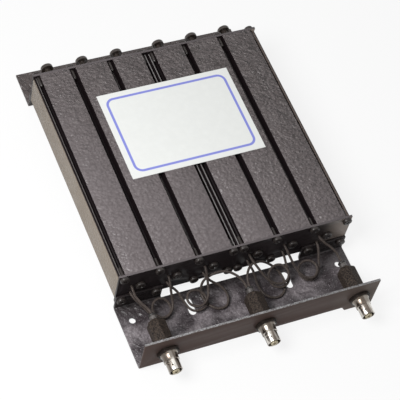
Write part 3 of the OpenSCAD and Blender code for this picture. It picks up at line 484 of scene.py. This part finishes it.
def metal(name, dark, light, size, depth, roughness, metallic=1.0, specular=0.5):
    """Metal whose tone, height and sheen wander over the size in millimetres."""
    material = new_material(name, dark, roughness, metallic, specular)
    tree = material.node_tree
    shader = tree.nodes["Principled BSDF"]
    tone = noise(tree, size, TONE_DETAIL)
    raise_surface(tree, noise(tree, size * RELIEF_SIZE), depth)
    color = blend_color(tree, between(tree, tone, *METAL_PALING), dark, light)
    tree.links.new(color, shader.inputs["Base Color"])
    sheen = value(tree, "MULTIPLY_ADD", tone, METAL_SHEEN_SPREAD,
                  roughness - METAL_SHEEN_SPREAD / 2)
    tree.links.new(sheen, shader.inputs["Roughness"])
    return material


def label_film():
    """White film with one plain rounded border line."""
    material = wrinkled("label_film", (0.77, 0.785, 0.765), (0.795, 0.81, 0.79),
                        size=5, depth=0.004, roughness=0.42, specular=0.4)
    tree = material.node_tree
    low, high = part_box("label_plate")
    beyond = []
    for axis, socket in enumerate(along_axes(tree)[:2]):
        centre = (low[axis] + high[axis]) / 2
        straight = (high[axis] - low[axis]) / 2 - (BORDER_INSET + BORDER_CORNER) * MM
        offset = value(tree, "ABSOLUTE", value(tree, "SUBTRACT", socket, centre))
        beyond.append(value(tree, "SUBTRACT", offset, straight))
    outer = [value(tree, "POWER", value(tree, "MAXIMUM", side, 0), 2) for side in beyond]
    corner = value(tree, "SQRT", value(tree, "ADD", *outer))
    inner = value(tree, "MINIMUM", value(tree, "MAXIMUM", *beyond), 0)
    edge = value(tree, "SUBTRACT", value(tree, "ADD", corner, inner), BORDER_CORNER * MM)
    half = BORDER_WIDTH * MM / 2
    off_line = between(tree, value(tree, "ABSOLUTE", edge), half * (1 - BORDER_BLUR),
                       half * (1 + BORDER_BLUR))
    recolor(tree, value(tree, "SUBTRACT", 1, off_line), BORDER_BLUE)
    return material


def painted_highlight_lines():
    """Thin painted highlight lines along the extrusions: place in X and Z, half width and colour.
    """
    middles = [middle("resonator_%d" % cell).x / MM for cell in CELLS]
    slots = [(first + second) / 2 for first, second in zip(middles, middles[1:])]
    lines = [(side * LIP_X, LIP_Z, LIP_HALF, LIP_HIGHLIGHT) for side in (-1, 1)]
    lines += [(-SIDE_LIP_X, LIP_Z, LEFT_LIP_HALF, EDGE_HIGHLIGHT),
              (SIDE_LIP_X, LIP_Z, RIGHT_LIP_HALF, RIGHT_LIP_HIGHLIGHT)]
    return lines + [(slot + CHANNEL_LINE_X, CHANNEL_LINE_Z, LIP_HALF, EDGE_HIGHLIGHT)
                    for slot in slots if abs(slot) > LIP_X]


def long_line(tree, line_x, line_z, half):
    """Share of a line along Y at a place in millimetres, with its half width."""
    off_line = []
    for socket, place in zip(along_axes(tree)[::2], (line_x, line_z)):
        off_line.append(value(tree, "ABSOLUTE", value(tree, "SUBTRACT", socket, place * MM)))
    return between(tree, value(tree, "MAXIMUM", *off_line), (half + LINE_BLUR) * MM,
                   (half - LINE_BLUR) * MM)


def body_paint():
    """Wrinkle paint of the extrusions: grey on the strips, browner and darker towards the rear
    right as painted shade of the light falling off, with painted shade in the furrows and
    painted highlight on the ridges of its creases there, a painted reflection of the pale floor
    on the side walls, near black painted shade inside the grooves, and painted highlight lines
    along the lips and channels."""
    material = wrinkled("crinkle_paint", (0.1, 0.0835, 0.0855), (0.157, 0.135, 0.139),
                        size=2.4, depth=2.6, roughness=0.4, stretch=(1.6, 1, 1))
    tree = material.node_tree
    x, y, z = along_axes(tree)
    top = near_face(tree, z, TOP_Z, STRIP_EDGE)
    under = near_face(tree, z, UNDER_Z, STRIP_EDGE, -1)
    side = near_face(tree, value(tree, "ABSOLUTE", x), HALF_W, WALL_EDGE)
    skin = value(tree, "MAXIMUM", value(tree, "MAXIMUM", top, under), side)
    groove = value(tree, "SUBTRACT", 1, skin)
    rear = between(tree, value(tree, "MULTIPLY_ADD", x, REAR_SLANT, y), *REAR_RANGE)
    # Painted shade: browner and darker towards the rear right, where the light falls off
    recolor(tree, value(tree, "MULTIPLY", rear, REAR_SHADE_SHARE), REAR_BROWN_AND_SHADE)
    creases = noise(tree, CREASE_SIZE, distortion=CREASE_DISTORTION, stretch=CREASE_STRETCH,
                    turn=CREASE_TURN)
    # Painted shade in the creases' furrows and painted highlight on their ridges
    for limits, tone in CREASE_SHADING:
        recolor(tree, value(tree, "MULTIPLY", between(tree, creases, *limits), rear), tone)
    # Painted shade inside the grooves
    recolor(tree, groove, GROOVE_SHADE)
    # Painted reflection of the pale floor on the side walls
    recolor(tree, side, SIDE_REFLECTION)
    # Painted highlight lines along the lips and in the screw channels
    for line_x, line_z, half, tone in painted_highlight_lines():
        recolor(tree, long_line(tree, line_x, line_z, half), tone)
    change_where(tree, "Specular IOR Level", groove, GROOVE_GLOSS)
    change_where(tree, "Specular IOR Level", side, SIDE_GLOSS)
    relief = value(tree, "MULTIPLY_ADD", rear, 1 - FRONT_RELIEF, FRONT_RELIEF)
    soften_bump(tree, value(tree, "MULTIPLY", skin, relief))
    return material


def bracket_paint():
    """Black paint over hammered sheet with painted glints. The front floor has painted shade at
    its fold and painted reflection clouds beyond, the tabs are darkened as painted shade, the
    panel is smooth and brown with a painted glare at its right end and a painted speckled
    highlight along its rim, and the rear bracket is brown."""
    material = wrinkled("bracket_paint", (0.036, 0.029, 0.032), (0.056, 0.046, 0.05),
                        size=1.6, depth=0.3, roughness=0.34, specular=0.4,
                        glints=(0.42, 0.38, 0.4), swell=5)
    tree = material.node_tree
    x, y, z = along_axes(tree)
    clouds = between(tree, noise(tree, CLOUD_SIZE, detail=1.2), *CLOUD_RANGE)
    grain = between(tree, noise(tree, GRAIN_SIZE, detail=1), *GRAIN_RANGE)
    front = between(tree, y, *FRONT_RANGE)
    open_floor = between(tree, y, *CLOUD_PLACES)
    cloud_reflections = value(tree, "MULTIPLY", value(tree, "MULTIPLY", clouds, grain), open_floor)
    # Painted reflection clouds on the open front floor
    recolor(tree, cloud_reflections, CLOUD_REFLECTION)
    # Painted shade at the fold between the front floor and the panel
    recolor(tree, value(tree, "MULTIPLY_ADD", open_floor, -FOLD_SHADE_SHARE, FOLD_SHADE_SHARE), TAB_SHADE_BLACK)
    # Brown of the rear bracket, the same colour as the strips' painted rear shade
    recolor(tree, value(tree, "SUBTRACT", 1, front), REAR_BROWN_AND_SHADE)
    tabs = between(tree, z, *[(SHEET_T + rise) * MM for rise in TAB_RISE])
    # Painted shade on the tabs
    recolor(tree, tabs, TAB_SHADE_BLACK)
    change_where(tree, "Specular IOR Level", tabs, TAB_GLOSS)
    panel = between(tree, y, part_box("jack_1_hex_body")[0].y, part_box("jack_washers")[1].y)
    recolor(tree, panel, PANEL_BROWN)
    # Painted glare towards the panel's right end
    glare = between(tree, x, GLARE_START_X * MM, HALF_W * MM)
    recolor(tree, value(tree, "MULTIPLY", panel, glare), END_GLARE)
    change_where(tree, "Specular IOR Level", panel, PANEL_GLOSS)
    change_where(tree, "Roughness", panel, PANEL_ROUGHNESS)
    relief = value(tree, "MULTIPLY_ADD", front, 1 - REAR_RELIEF, REAR_RELIEF)
    soften_bump(tree, value(tree, "MULTIPLY", relief, value(tree, "SUBTRACT", 1, panel)))
    # Painted highlight along the panel's top rim, broken into glints
    rim = near_face(tree, z, RIM_Z, RIM_EDGE)
    rim_glints = between(tree, noise(tree, RIM_GLINT_SIZE, detail=1), *RIM_GLINT_RANGE)
    recolor(tree, value(tree, "MULTIPLY", rim, rim_glints), RIM_HIGHLIGHT)
    return material


def plate_paint():
    """Smooth black paint of the end plates, with a painted grey highlight along their top edge,
    and a painted glare that grows towards the right end and is palest at it."""
    material = wrinkled("plate_paint", (0.0105, 0.007, 0.0078), (0.0155, 0.0105, 0.0115),
                        size=2.5, depth=0.02, roughness=0.45, specular=0.25)
    tree = material.node_tree
    x, _, z = along_axes(tree)
    # Painted glare towards the right end, paler at the very end
    glare = between(tree, x, GLARE_START_X * MM, HALF_W * MM)
    recolor(tree, value(tree, "MULTIPLY", glare, glare), END_GLARE)
    recolor(tree, between(tree, x, *[place * MM for place in PALE_GLARE_XS]), PALE_GLARE)
    # Painted highlight along the lit top edge
    plate_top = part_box("front_end_plate")[1].z / MM
    recolor(tree, near_face(tree, z, plate_top, PLATE_RIM_EDGE), PLATE_RIM_HIGHLIGHT)
    return material


def ferrule_tin():
    """Dull tin with a black band at the end where the jumpers enter."""
    material = metal("ferrule_tin", (0.045, 0.039, 0.037), (0.12, 0.108, 0.103),
                     size=1.2, depth=0.02, roughness=0.4, metallic=0.2)
    tree = material.node_tree
    band_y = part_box("jack_ferrules")[0].y + FERRULE_BAND_Y * MM
    band = between(tree, along_axes(tree)[1], band_y - BAND_BLUR * MM, band_y + BAND_BLUR * MM)
    recolor(tree, band, BAND_BLACK)
    return material


def barrel_nickel():
    """Drawn nickel tube with painted dark reflections in long streaks and painted shade at its
    root.
    """
    material = metal("bright_nickel", (0.55, 0.52, 0.47), (0.78, 0.75, 0.7),
                     size=2, depth=0.004, roughness=0.24)
    tree = material.node_tree
    # Painted dark reflections in long streaks along the barrel
    streaks = noise(tree, STREAK_SIZE, detail=1, distortion=0.2, stretch=STREAK_STRETCH)
    recolor(tree, between(tree, streaks, *STREAK_RANGE), STREAK_REFLECTION)
    # Painted shade on the root and collar next to the panel
    mouth_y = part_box("jack_1_shell")[0].y
    root = between(tree, along_axes(tree)[1], mouth_y + (BARREL_ROOT_Y - ROOT_BLUR) * MM,
                   mouth_y + (BARREL_ROOT_Y + ROOT_BLUR) * MM)
    recolor(tree, value(tree, "MULTIPLY", root, ROOT_SHADE_SHARE), ROOT_SHADE)
    return material


MATERIALS = {
    "crinkle_paint": body_paint(),
    "plate_paint": plate_paint(),
    "bracket_paint": bracket_paint(),
    "label_film": label_film(),
    "black_screws": metal("black_screws", (0.012, 0.0095, 0.009), (0.035, 0.028, 0.025),
                          size=0.8, depth=0.04, roughness=0.3, metallic=0, specular=0.32),
    "tuning_brown": metal("tuning_brown", (0.016, 0.012, 0.01), (0.045, 0.034, 0.028),
                          size=0.8, depth=0.04, roughness=0.34, metallic=0),
    "resonator_copper": metal("resonator_copper", (0.6, 0.3, 0.17), (0.7, 0.38, 0.22),
                              size=1.5, depth=0.01, roughness=0.3),
    "tuning_brass": metal("tuning_brass", (0.6, 0.42, 0.16), (0.7, 0.5, 0.22),
                          size=1.2, depth=0.01, roughness=0.32),
    "bright_nickel": barrel_nickel(),
    "dark_nickel": wrinkled("dark_nickel", (0.012, 0.0095, 0.009), (0.083, 0.063, 0.05),
                            size=0.9, depth=0.3, roughness=0.5, specular=0.08),
    "insulator_ivory": wrinkled("insulator_ivory", (0.44, 0.38, 0.25), (0.54, 0.47, 0.32),
                                size=1.2, depth=0.01, roughness=0.5),
    "contact_gold": metal("contact_gold", (0.36, 0.25, 0.11), (0.5, 0.36, 0.17),
                          size=1, depth=0.004, roughness=0.25),
    "black_oxide": metal("black_oxide", (0.012, 0.009, 0.0075), (0.034, 0.026, 0.022),
                         size=0.9, depth=0.02, roughness=0.42, metallic=0, specular=0.12),
    "ferrule_tin": ferrule_tin(),
    "jumper_jacket": wrinkled("jumper_jacket", (0.046, 0.037, 0.033), (0.11, 0.089, 0.08),
                              size=0.7, depth=0.03, roughness=0.34, specular=0.08),
}


def add_lamps():
    """Large soft lamps, aimed at the object."""
    for name, place, aim, width, height, power in LAMPS:
        bpy.ops.object.light_add(type="AREA", location=place)
        lamp = bpy.context.object
        lamp.name = name
        lamp.rotation_euler = (Vector(aim) - Vector(place)).to_track_quat("-Z", "Y").to_euler()
        lamp.data.shape = "RECTANGLE"
        lamp.data.size = width
        lamp.data.size_y = height
        lamp.data.energy = power


def seen_directly(tree):
    """One where a ray comes from the camera, a reflection or through glass."""
    rays = tree.nodes.new("ShaderNodeLightPath").outputs
    seen = value(tree, "MAXIMUM", rays["Is Camera Ray"], rays["Is Glossy Ray"])
    return value(tree, "MAXIMUM", seen, rays["Is Transmission Ray"])


def mix_shaders(tree, share, first, second, output):
    """Leads to the output the first shader, and the second where share is one."""
    mix = tree.nodes.new("ShaderNodeMixShader")
    for socket, source in zip(mix.inputs, (share, first, second)):
        tree.links.new(source, socket)
    tree.links.new(mix.outputs["Shader"], tree.nodes[output].inputs["Surface"])


def add_world():
    """Soft light from all round, and white where the world is seen."""
    world = bpy.data.worlds.new("studio")
    bpy.context.scene.world = world
    world.use_nodes = True
    tree = world.node_tree
    soft = tree.nodes["Background"]
    white = tree.nodes.new("ShaderNodeBackground")
    for light, strength in ((soft, AMBIENT), (white, 1)):
        light.inputs["Color"].default_value = WHITE
        light.inputs["Strength"].default_value = strength
    mix_shaders(tree, seen_directly(tree), soft.outputs["Background"],
                white.outputs["Background"], "World Output")


def add_floor():
    """A pale floor that keeps the object's shadow."""
    bpy.ops.mesh.primitive_plane_add(size=FLOOR_SIZE, location=(0, 0, -FLOOR_DROP))
    floor = bpy.context.object
    floor.name = "floor"
    material = new_material("floor_white", FLOOR_WHITE, FLOOR_ROUGHNESS)
    tree = material.node_tree
    glow = tree.nodes.new("ShaderNodeEmission")
    glow.inputs["Strength"].default_value = 1
    mix_shaders(tree, value(tree, "MULTIPLY", seen_directly(tree), FLOOR_GLOW),
                tree.nodes["Principled BSDF"].outputs["BSDF"], glow.outputs["Emission"],
                "Material Output")
    floor.data.materials.append(material)


def alone(piece):
    """Leaves just this piece selected and active."""
    bpy.ops.object.select_all(action="DESELECT")
    piece.select_set(True)
    bpy.context.view_layer.objects.active = piece


def edit_all(piece):
    """Opens the piece in edit mode with everything selected."""
    alone(piece)
    bpy.ops.object.mode_set(mode="EDIT")
    bpy.ops.mesh.select_all(action="SELECT")


def pick_faces(piece, wanted):
    """Selects the faces of the piece in edit mode for which wanted is true."""
    bpy.ops.mesh.select_mode(type="FACE")
    bpy.ops.mesh.select_all(action="DESELECT")
    work = bmesh.from_edit_mesh(piece.data)
    for face in work.faces:
        face.select_set(wanted(face))
    bmesh.update_edit_mesh(piece.data)


def leave_edit_mode():
    """Leaves edit mode with the faces pointing out."""
    bpy.ops.mesh.select_all(action="SELECT")
    bpy.ops.mesh.normals_make_consistent(inside=False)
    bpy.ops.object.mode_set(mode="OBJECT")


def smooth(piece):
    """Curved faces look smooth and sharp edges stay sharp."""
    alone(piece)
    bpy.ops.object.shade_smooth_by_angle(angle=math.radians(SMOOTH_ANGLE))


def discard(piece):
    """Removes a tool or a master that has done its work."""
    mesh = piece.data
    bpy.data.objects.remove(piece)
    bpy.data.meshes.remove(mesh)


def turned(name, rings, sides=TURNED_SIDES):
    """Shape turned about the Y axis, from rings of radius and place along Y in millimetres.
    A circle at the first ring is extruded and resized to each of the others."""
    radius, start = rings[0]
    bpy.ops.object.select_all(action="DESELECT")
    bpy.ops.mesh.primitive_circle_add(vertices=sides, radius=radius * MM, fill_type="NGON",
                                      rotation=(math.pi / 2, 0, 0))
    piece = bpy.context.object
    piece.name = piece.data.name = name
    bpy.ops.object.transform_apply(location=True, rotation=True, scale=True)
    edit_all(piece)
    bpy.ops.transform.translate(value=(0, start * MM, 0))
    for (radius_a, y_a), (radius_b, y_b) in zip(rings, rings[1:]):
        bpy.ops.mesh.extrude_region_move(
            TRANSFORM_OT_translate={"value": (0, (y_b - y_a) * MM, 0)})
        share = radius_b / radius_a
        bpy.ops.transform.resize(value=(share, 1, share), center_override=(0, 0, 0))
    leave_edit_mode()
    smooth(piece)
    return piece


def carve(piece, tool, operation="DIFFERENCE"):
    """Takes the tool's shape out of the piece, or adds it, and removes the tool."""
    alone(piece)
    carving = piece.modifiers.new("carve", "BOOLEAN")
    carving.operation = operation
    carving.solver = "EXACT"
    carving.object = tool
    bpy.ops.object.modifier_apply(modifier=carving.name)
    discard(tool)


def copy_of(master, name, place, turn=0.0, about_z=0.0):
    """Copy with its own mesh, turned about Y and then Z in degrees and moved in metres."""
    alone(master)
    bpy.ops.object.duplicate()
    piece = bpy.context.object
    piece.name = piece.data.name = name
    piece.rotation_euler = (0, math.radians(turn), math.radians(about_z))
    piece.location = place
    bpy.ops.object.transform_apply(location=True, rotation=True, scale=True)
    return piece


def join(pieces, name):
    """One piece made of several."""
    alone(pieces[0])
    for piece in pieces[1:]:
        piece.select_set(True)
    bpy.ops.object.join()
    pieces[0].name = pieces[0].data.name = name
    return pieces[0]


def put_in(piece, node, body=HOUSING):
    """Puts the piece in the place of a CAD node, with the node's finish."""
    finish = SLOTS[node]
    piece.data.materials.clear()
    piece.data.materials.append(MATERIALS[finish])
    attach(piece, body)
    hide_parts(node)


def recess_bar(head_radius, head_h, turn):
    """One tapered bar of a cross recess, half sunk in the top of a head."""
    bpy.ops.object.select_all(action="DESELECT")
    bpy.ops.mesh.primitive_cube_add(size=1)
    bar = bpy.context.object
    sizes = zip((head_radius, head_h, head_radius), RECESS_SHARES)
    bar.scale = [size * share * MM for size, share in sizes]
    bpy.ops.object.transform_apply(location=True, rotation=True, scale=True)
    edit_all(bar)
    pick_faces(bar, lambda face: face.normal.y > FACING)
    bpy.ops.transform.resize(value=RECESS_TAPER, center_override=(0, 0, 0))
    bpy.ops.object.mode_set(mode="OBJECT")
    bar.rotation_euler = (0, math.radians(turn), 0)
    bar.location = (0, -head_h * MM, 0)
    bpy.ops.object.transform_apply(location=True, rotation=True, scale=True)
    return bar


def pan_screw(name, head_d, head_h, shank_rings):
    """Pan-head screw along +Y with the underside of its head at the origin."""
    dome = [(radius * head_d / 2, -height * head_h) for radius, height in PAN_RINGS]
    screw = turned(name, shank_rings + [(shank_rings[-1][0], 0)] + dome)
    for turn in (0, 90):
        carve(screw, recess_bar(head_d / 2, head_h, turn))
    smooth(screw)
    return screw


def thread(radius, start, end, pitch):
    """Rings of a screw thread's ridges from start back to end, in millimetres."""
    rings = []
    place = start
    while place - pitch > end:
        rings.append((radius - RIDGE_DEPTH * pitch, place))
        rings += [(radius, place - pitch * share) for share in RIDGE_CREST]
        place -= pitch
    return rings + [(radius - RIDGE_DEPTH * pitch, place)]


def rim_rings(radius, along, steps):
    """Rings of a rim at a radius and a place along Y, from steps off it in millimetres."""
    return [(radius + out, along + on) for out, on in steps]


def shank_tip(diameter, length):
    """Rings of a plain shank's stepped end, in millimetres."""
    return [(diameter / 2 - TIP_STEP, length), (diameter / 2, length - TIP_L)]


def add_screws():
    """Pan-head screws of both end plates and the resonators."""
    low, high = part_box("front_plate_screws")
    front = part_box("front_end_plate")[0].y
    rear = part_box("rear_end_plate")[1].y
    low_z, high_z = low.z + HEAD_D * MM / 2, high.z - HEAD_D * MM / 2
    plate_screw = pan_screw("plate_screw", HEAD_D, HEAD_H, shank_tip(SHANK_D, SCREW_L))
    turns = itertools.cycle(RECESS_TURNS)
    for node, face, way in (("front_plate_screws", front, -1), ("rear_plate_screws", rear, 1)):
        screws = []
        for x in SCREW_XS:
            tab = SHEET_T if abs(x) > TAB_X else 0
            for z, lift in ((high_z, 0), (low_z, tab)):
                place = (x * MM, face + way * lift * MM, z)
                screws.append(copy_of(plate_screw, "screw", place, next(turns),
                                      0 if way < 0 else 180))
        put_in(join(screws, node.replace("screws", "pan_heads")), node)
    discard(plate_screw)
    low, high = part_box("resonator_screws")
    resonator_screw = pan_screw("resonator_screw", RESONATOR_HEAD_D, HEAD_H,
                                shank_tip(RESONATOR_SHANK_D, RESONATOR_SCREW_L))
    screws = [copy_of(resonator_screw, "screw",
                      (middle("resonator_%d" % cell).x, front, (low.z + high.z) / 2), next(turns))
              for cell in CELLS]
    put_in(join(screws, "resonator_pan_heads"), "resonator_screws")
    discard(resonator_screw)


def add_tuning_screws():
    """Brown tuning screws with threaded shanks, one for each cell."""
    low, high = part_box("tuning_screw_1")
    under_head = high.y - TUNING_HEAD_H * MM
    shank = shank_tip(TUNING_D, (under_head - low.y) / MM) + [(TUNING_D / 2, TUNING_PLAIN_Y)]
    shank += thread(TUNING_D / 2, TUNING_THREAD_Y, TUNING_THREAD_END_Y, TUNING_PITCH)
    master = pan_screw("tuning_screw", TUNING_HEAD_D, TUNING_HEAD_H, shank)
    for cell, turn in zip(CELLS, RECESS_TURNS):
        node = "tuning_screw_%d" % cell
        place = (middle(node).x, under_head, middle(node).z)
        put_in(copy_of(master, "tuning_screw_threaded_%d" % cell, place, turn, 180), node,
               "screw_%d" % cell)
    discard(master)


def radial_pin(radius, reach, along, angle):
    """Round pin that stands out from the Y axis, at an angle from +Z towards -X."""
    bpy.ops.object.select_all(action="DESELECT")
    bpy.ops.mesh.primitive_cylinder_add(vertices=PIN_SIDES, radius=radius * MM,
                                        depth=reach * MM, location=(0, 0, reach * MM / 2))
    pin = bpy.context.object
    bpy.ops.object.transform_apply(location=True, rotation=True, scale=True)
    edit_all(pin)
    pick_faces(pin, lambda face: face.normal.z > FACING)
    bpy.ops.mesh.bevel(offset=LUG_EDGE * MM, segments=2)
    bpy.ops.object.mode_set(mode="OBJECT")
    pin.rotation_euler = (0, math.radians(-angle), 0)
    pin.location = (0, along * MM, 0)
    bpy.ops.object.transform_apply(location=True, rotation=True, scale=True)
    return pin


def jack_barrel():
    """Shell of a bayonet jack along +Y from its mouth: barrel with two lugs, root and collar."""
    barrel, root, collar, bore = BARREL_D / 2, BARREL_ROOT_D / 2, COLLAR_D / 2, BARREL_BORE_D / 2
    plain_gap, root_gap = THREAD_GAPS
    rings = [(barrel, SHELL_L), (barrel, COLLAR_END_Y), (collar, COLLAR_END_Y),
             (collar, COLLAR_THREAD_Y + plain_gap)]
    rings += thread(collar, COLLAR_THREAD_Y, COLLAR_Y + root_gap, COLLAR_PITCH)
    rings += [(root, COLLAR_Y - root_gap)] + rim_rings(root, BARREL_ROOT_Y, ROOT_RIM)
    rings += [(barrel, BARREL_ROOT_Y - ROOT_SLOPE_L)]
    rings += rim_rings(barrel, 0, MOUTH_RIM) + rim_rings(bore, 0, BORE_RIM)
    rings += [(bore, BARREL_BORE_L), (INSULATOR_D / 2, BARREL_BORE_L),
              (INSULATOR_D / 2, INSULATOR_SEAT_Y)]
    shell = turned("jack_shell", rings)
    for end in (0, 180):
        carve(shell, radial_pin(LUG_D / 2, barrel + LUG_H, LUG_Y, LUG_ANGLE + end), "UNION")
    carve(shell, radial_pin(CROSS_HOLE_D / 2, barrel + TOOL_REACH, CROSS_HOLE_Y,
                            CROSS_HOLE_ANGLE))
    smooth(shell)
    return shell


def jack_hexagon():
    """Hexagonal body along +Y from the panel's back, with its flange, neck and seat."""
    corner = HEX_AF / math.sqrt(3)
    flange, neck = JACK_FLANGE_D / 2, NECK_D / 2
    body = turned("jack_hexagon", rim_rings(corner, 0, HEX_BACK_RIM)
                  + rim_rings(corner, HEX_L, HEX_NOSE_RIM), HEX_SIDES)
    soften(body, HEX_EDGE)
    carve(body, turned("flange", rim_rings(flange, 0, FLANGE_RIMS)), "UNION")
    carve(body, turned("neck", [(neck, HEX_L - NECK_ROOT)]
                       + rim_rings(neck, HEX_L + NECK_L, NECK_RIM)), "UNION")
    carve(body, turned("seat", [(BARREL_D / 2, -TOOL_REACH),
                                (BARREL_D / 2, SHELL_L - COLLAR_END_Y)]))
    smooth(body)
    return body


def add_jacks():
    """The three bayonet jacks with their insulators, contacts, bodies and ferrules."""
    shell_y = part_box("jack_1_shell")[0].y
    insulator, contact, contact_bore = INSULATOR_D / 2, CONTACT_D / 2, CONTACT_BORE_D / 2
    contact_end = (contact, INSULATOR_SEAT_Y - CONTACT_SINK)
    shapes = {
        "shell": (jack_barrel(), shell_y),
        "insulator": (turned("insulator", [(insulator, INSULATOR_SEAT_Y)]
                             + rim_rings(insulator, 0, INSULATOR_RIM)
                             + rim_rings(contact, 0, INSULATOR_BORE_RIM)
                             + [contact_end]), shell_y),
        "contact": (turned("contact", [contact_end] + rim_rings(contact, 0, CONTACT_RIM)
                           + rim_rings(contact_bore, 0, CONTACT_BORE_RIM)
                           + [(contact_bore, CONTACT_BORE_L)], CONTACT_SIDES), shell_y),
        "hex_body": (jack_hexagon(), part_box("jack_1_hex_body")[0].y)}
    for kind, (shape, place_y) in shapes.items():
        for jack in JACKS:
            centre = middle("jack_%d_contact" % jack)
            node = "jack_%d_%s" % (jack, kind)
            put_in(copy_of(shape, node + "_turned", (centre.x, place_y, centre.z)), node)
        discard(shape)
    ferrule = turned("ferrule", FERRULE_RINGS)
    ferrules = []
    for jack in JACKS:
        centre = middle("jack_%d_contact" % jack)
        place = (centre.x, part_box("jack_ferrules")[0].y, centre.z)
        ferrules.append(copy_of(ferrule, "ferrule", place))
    put_in(join(ferrules, "jack_ferrules_crimped"), "jack_ferrules")
    discard(ferrule)


def soften(piece, width):
    """Rounds the piece's sharp edges by a width in millimetres."""
    alone(piece)
    rounding = piece.modifiers.new("rounding", "BEVEL")
    rounding.width = width * MM
    rounding.segments = 2
    rounding.limit_method = "ANGLE"
    rounding.angle_limit = math.radians(ROUNDED_ANGLE)
    bpy.ops.object.modifier_apply(modifier=rounding.name)


def add_softened(node, name, width, body=HOUSING):
    """Copy of a CAD node with its flat faces whole and its edges rounded."""
    piece = bpy.data.objects.new(name, frame["nodes"][node].data.copy())
    piece.data.name = name
    bpy.context.scene.collection.objects.link(piece)
    edit_all(piece)
    bpy.ops.mesh.remove_doubles(threshold=WELD_DISTANCE)
    bpy.ops.mesh.dissolve_limited(angle_limit=math.radians(FLAT_ANGLE))
    bpy.ops.object.mode_set(mode="OBJECT")
    soften(piece, width)
    smooth(piece)
    put_in(piece, node, body)


def dress_cad_nodes():
    """Gives each CAD node the finish of its slot in the record."""
    for node, finish in SLOTS.items():
        mesh = frame["nodes"][node].data
        mesh.materials.clear()
        mesh.materials.append(MATERIALS[finish])


bpy.ops.object.select_all(action="DESELECT")
add_camera()
dress_cad_nodes()
for coax in ROUTES:
    add_jumper(coax)
add_screws()
add_tuning_screws()
add_jacks()
for solid, (softened, edge_width) in SOFTENED.items():
    add_softened(solid, softened, edge_width)
for cell in CELLS:
    add_softened("lock_nut_%d" % cell, "lock_nut_rounded_%d" % cell, LOCK_NUT_EDGE,
                 "nut_%d" % cell)
add_lamps()
add_world()
add_floor()
bpy.context.scene.view_settings.view_transform = "Standard"
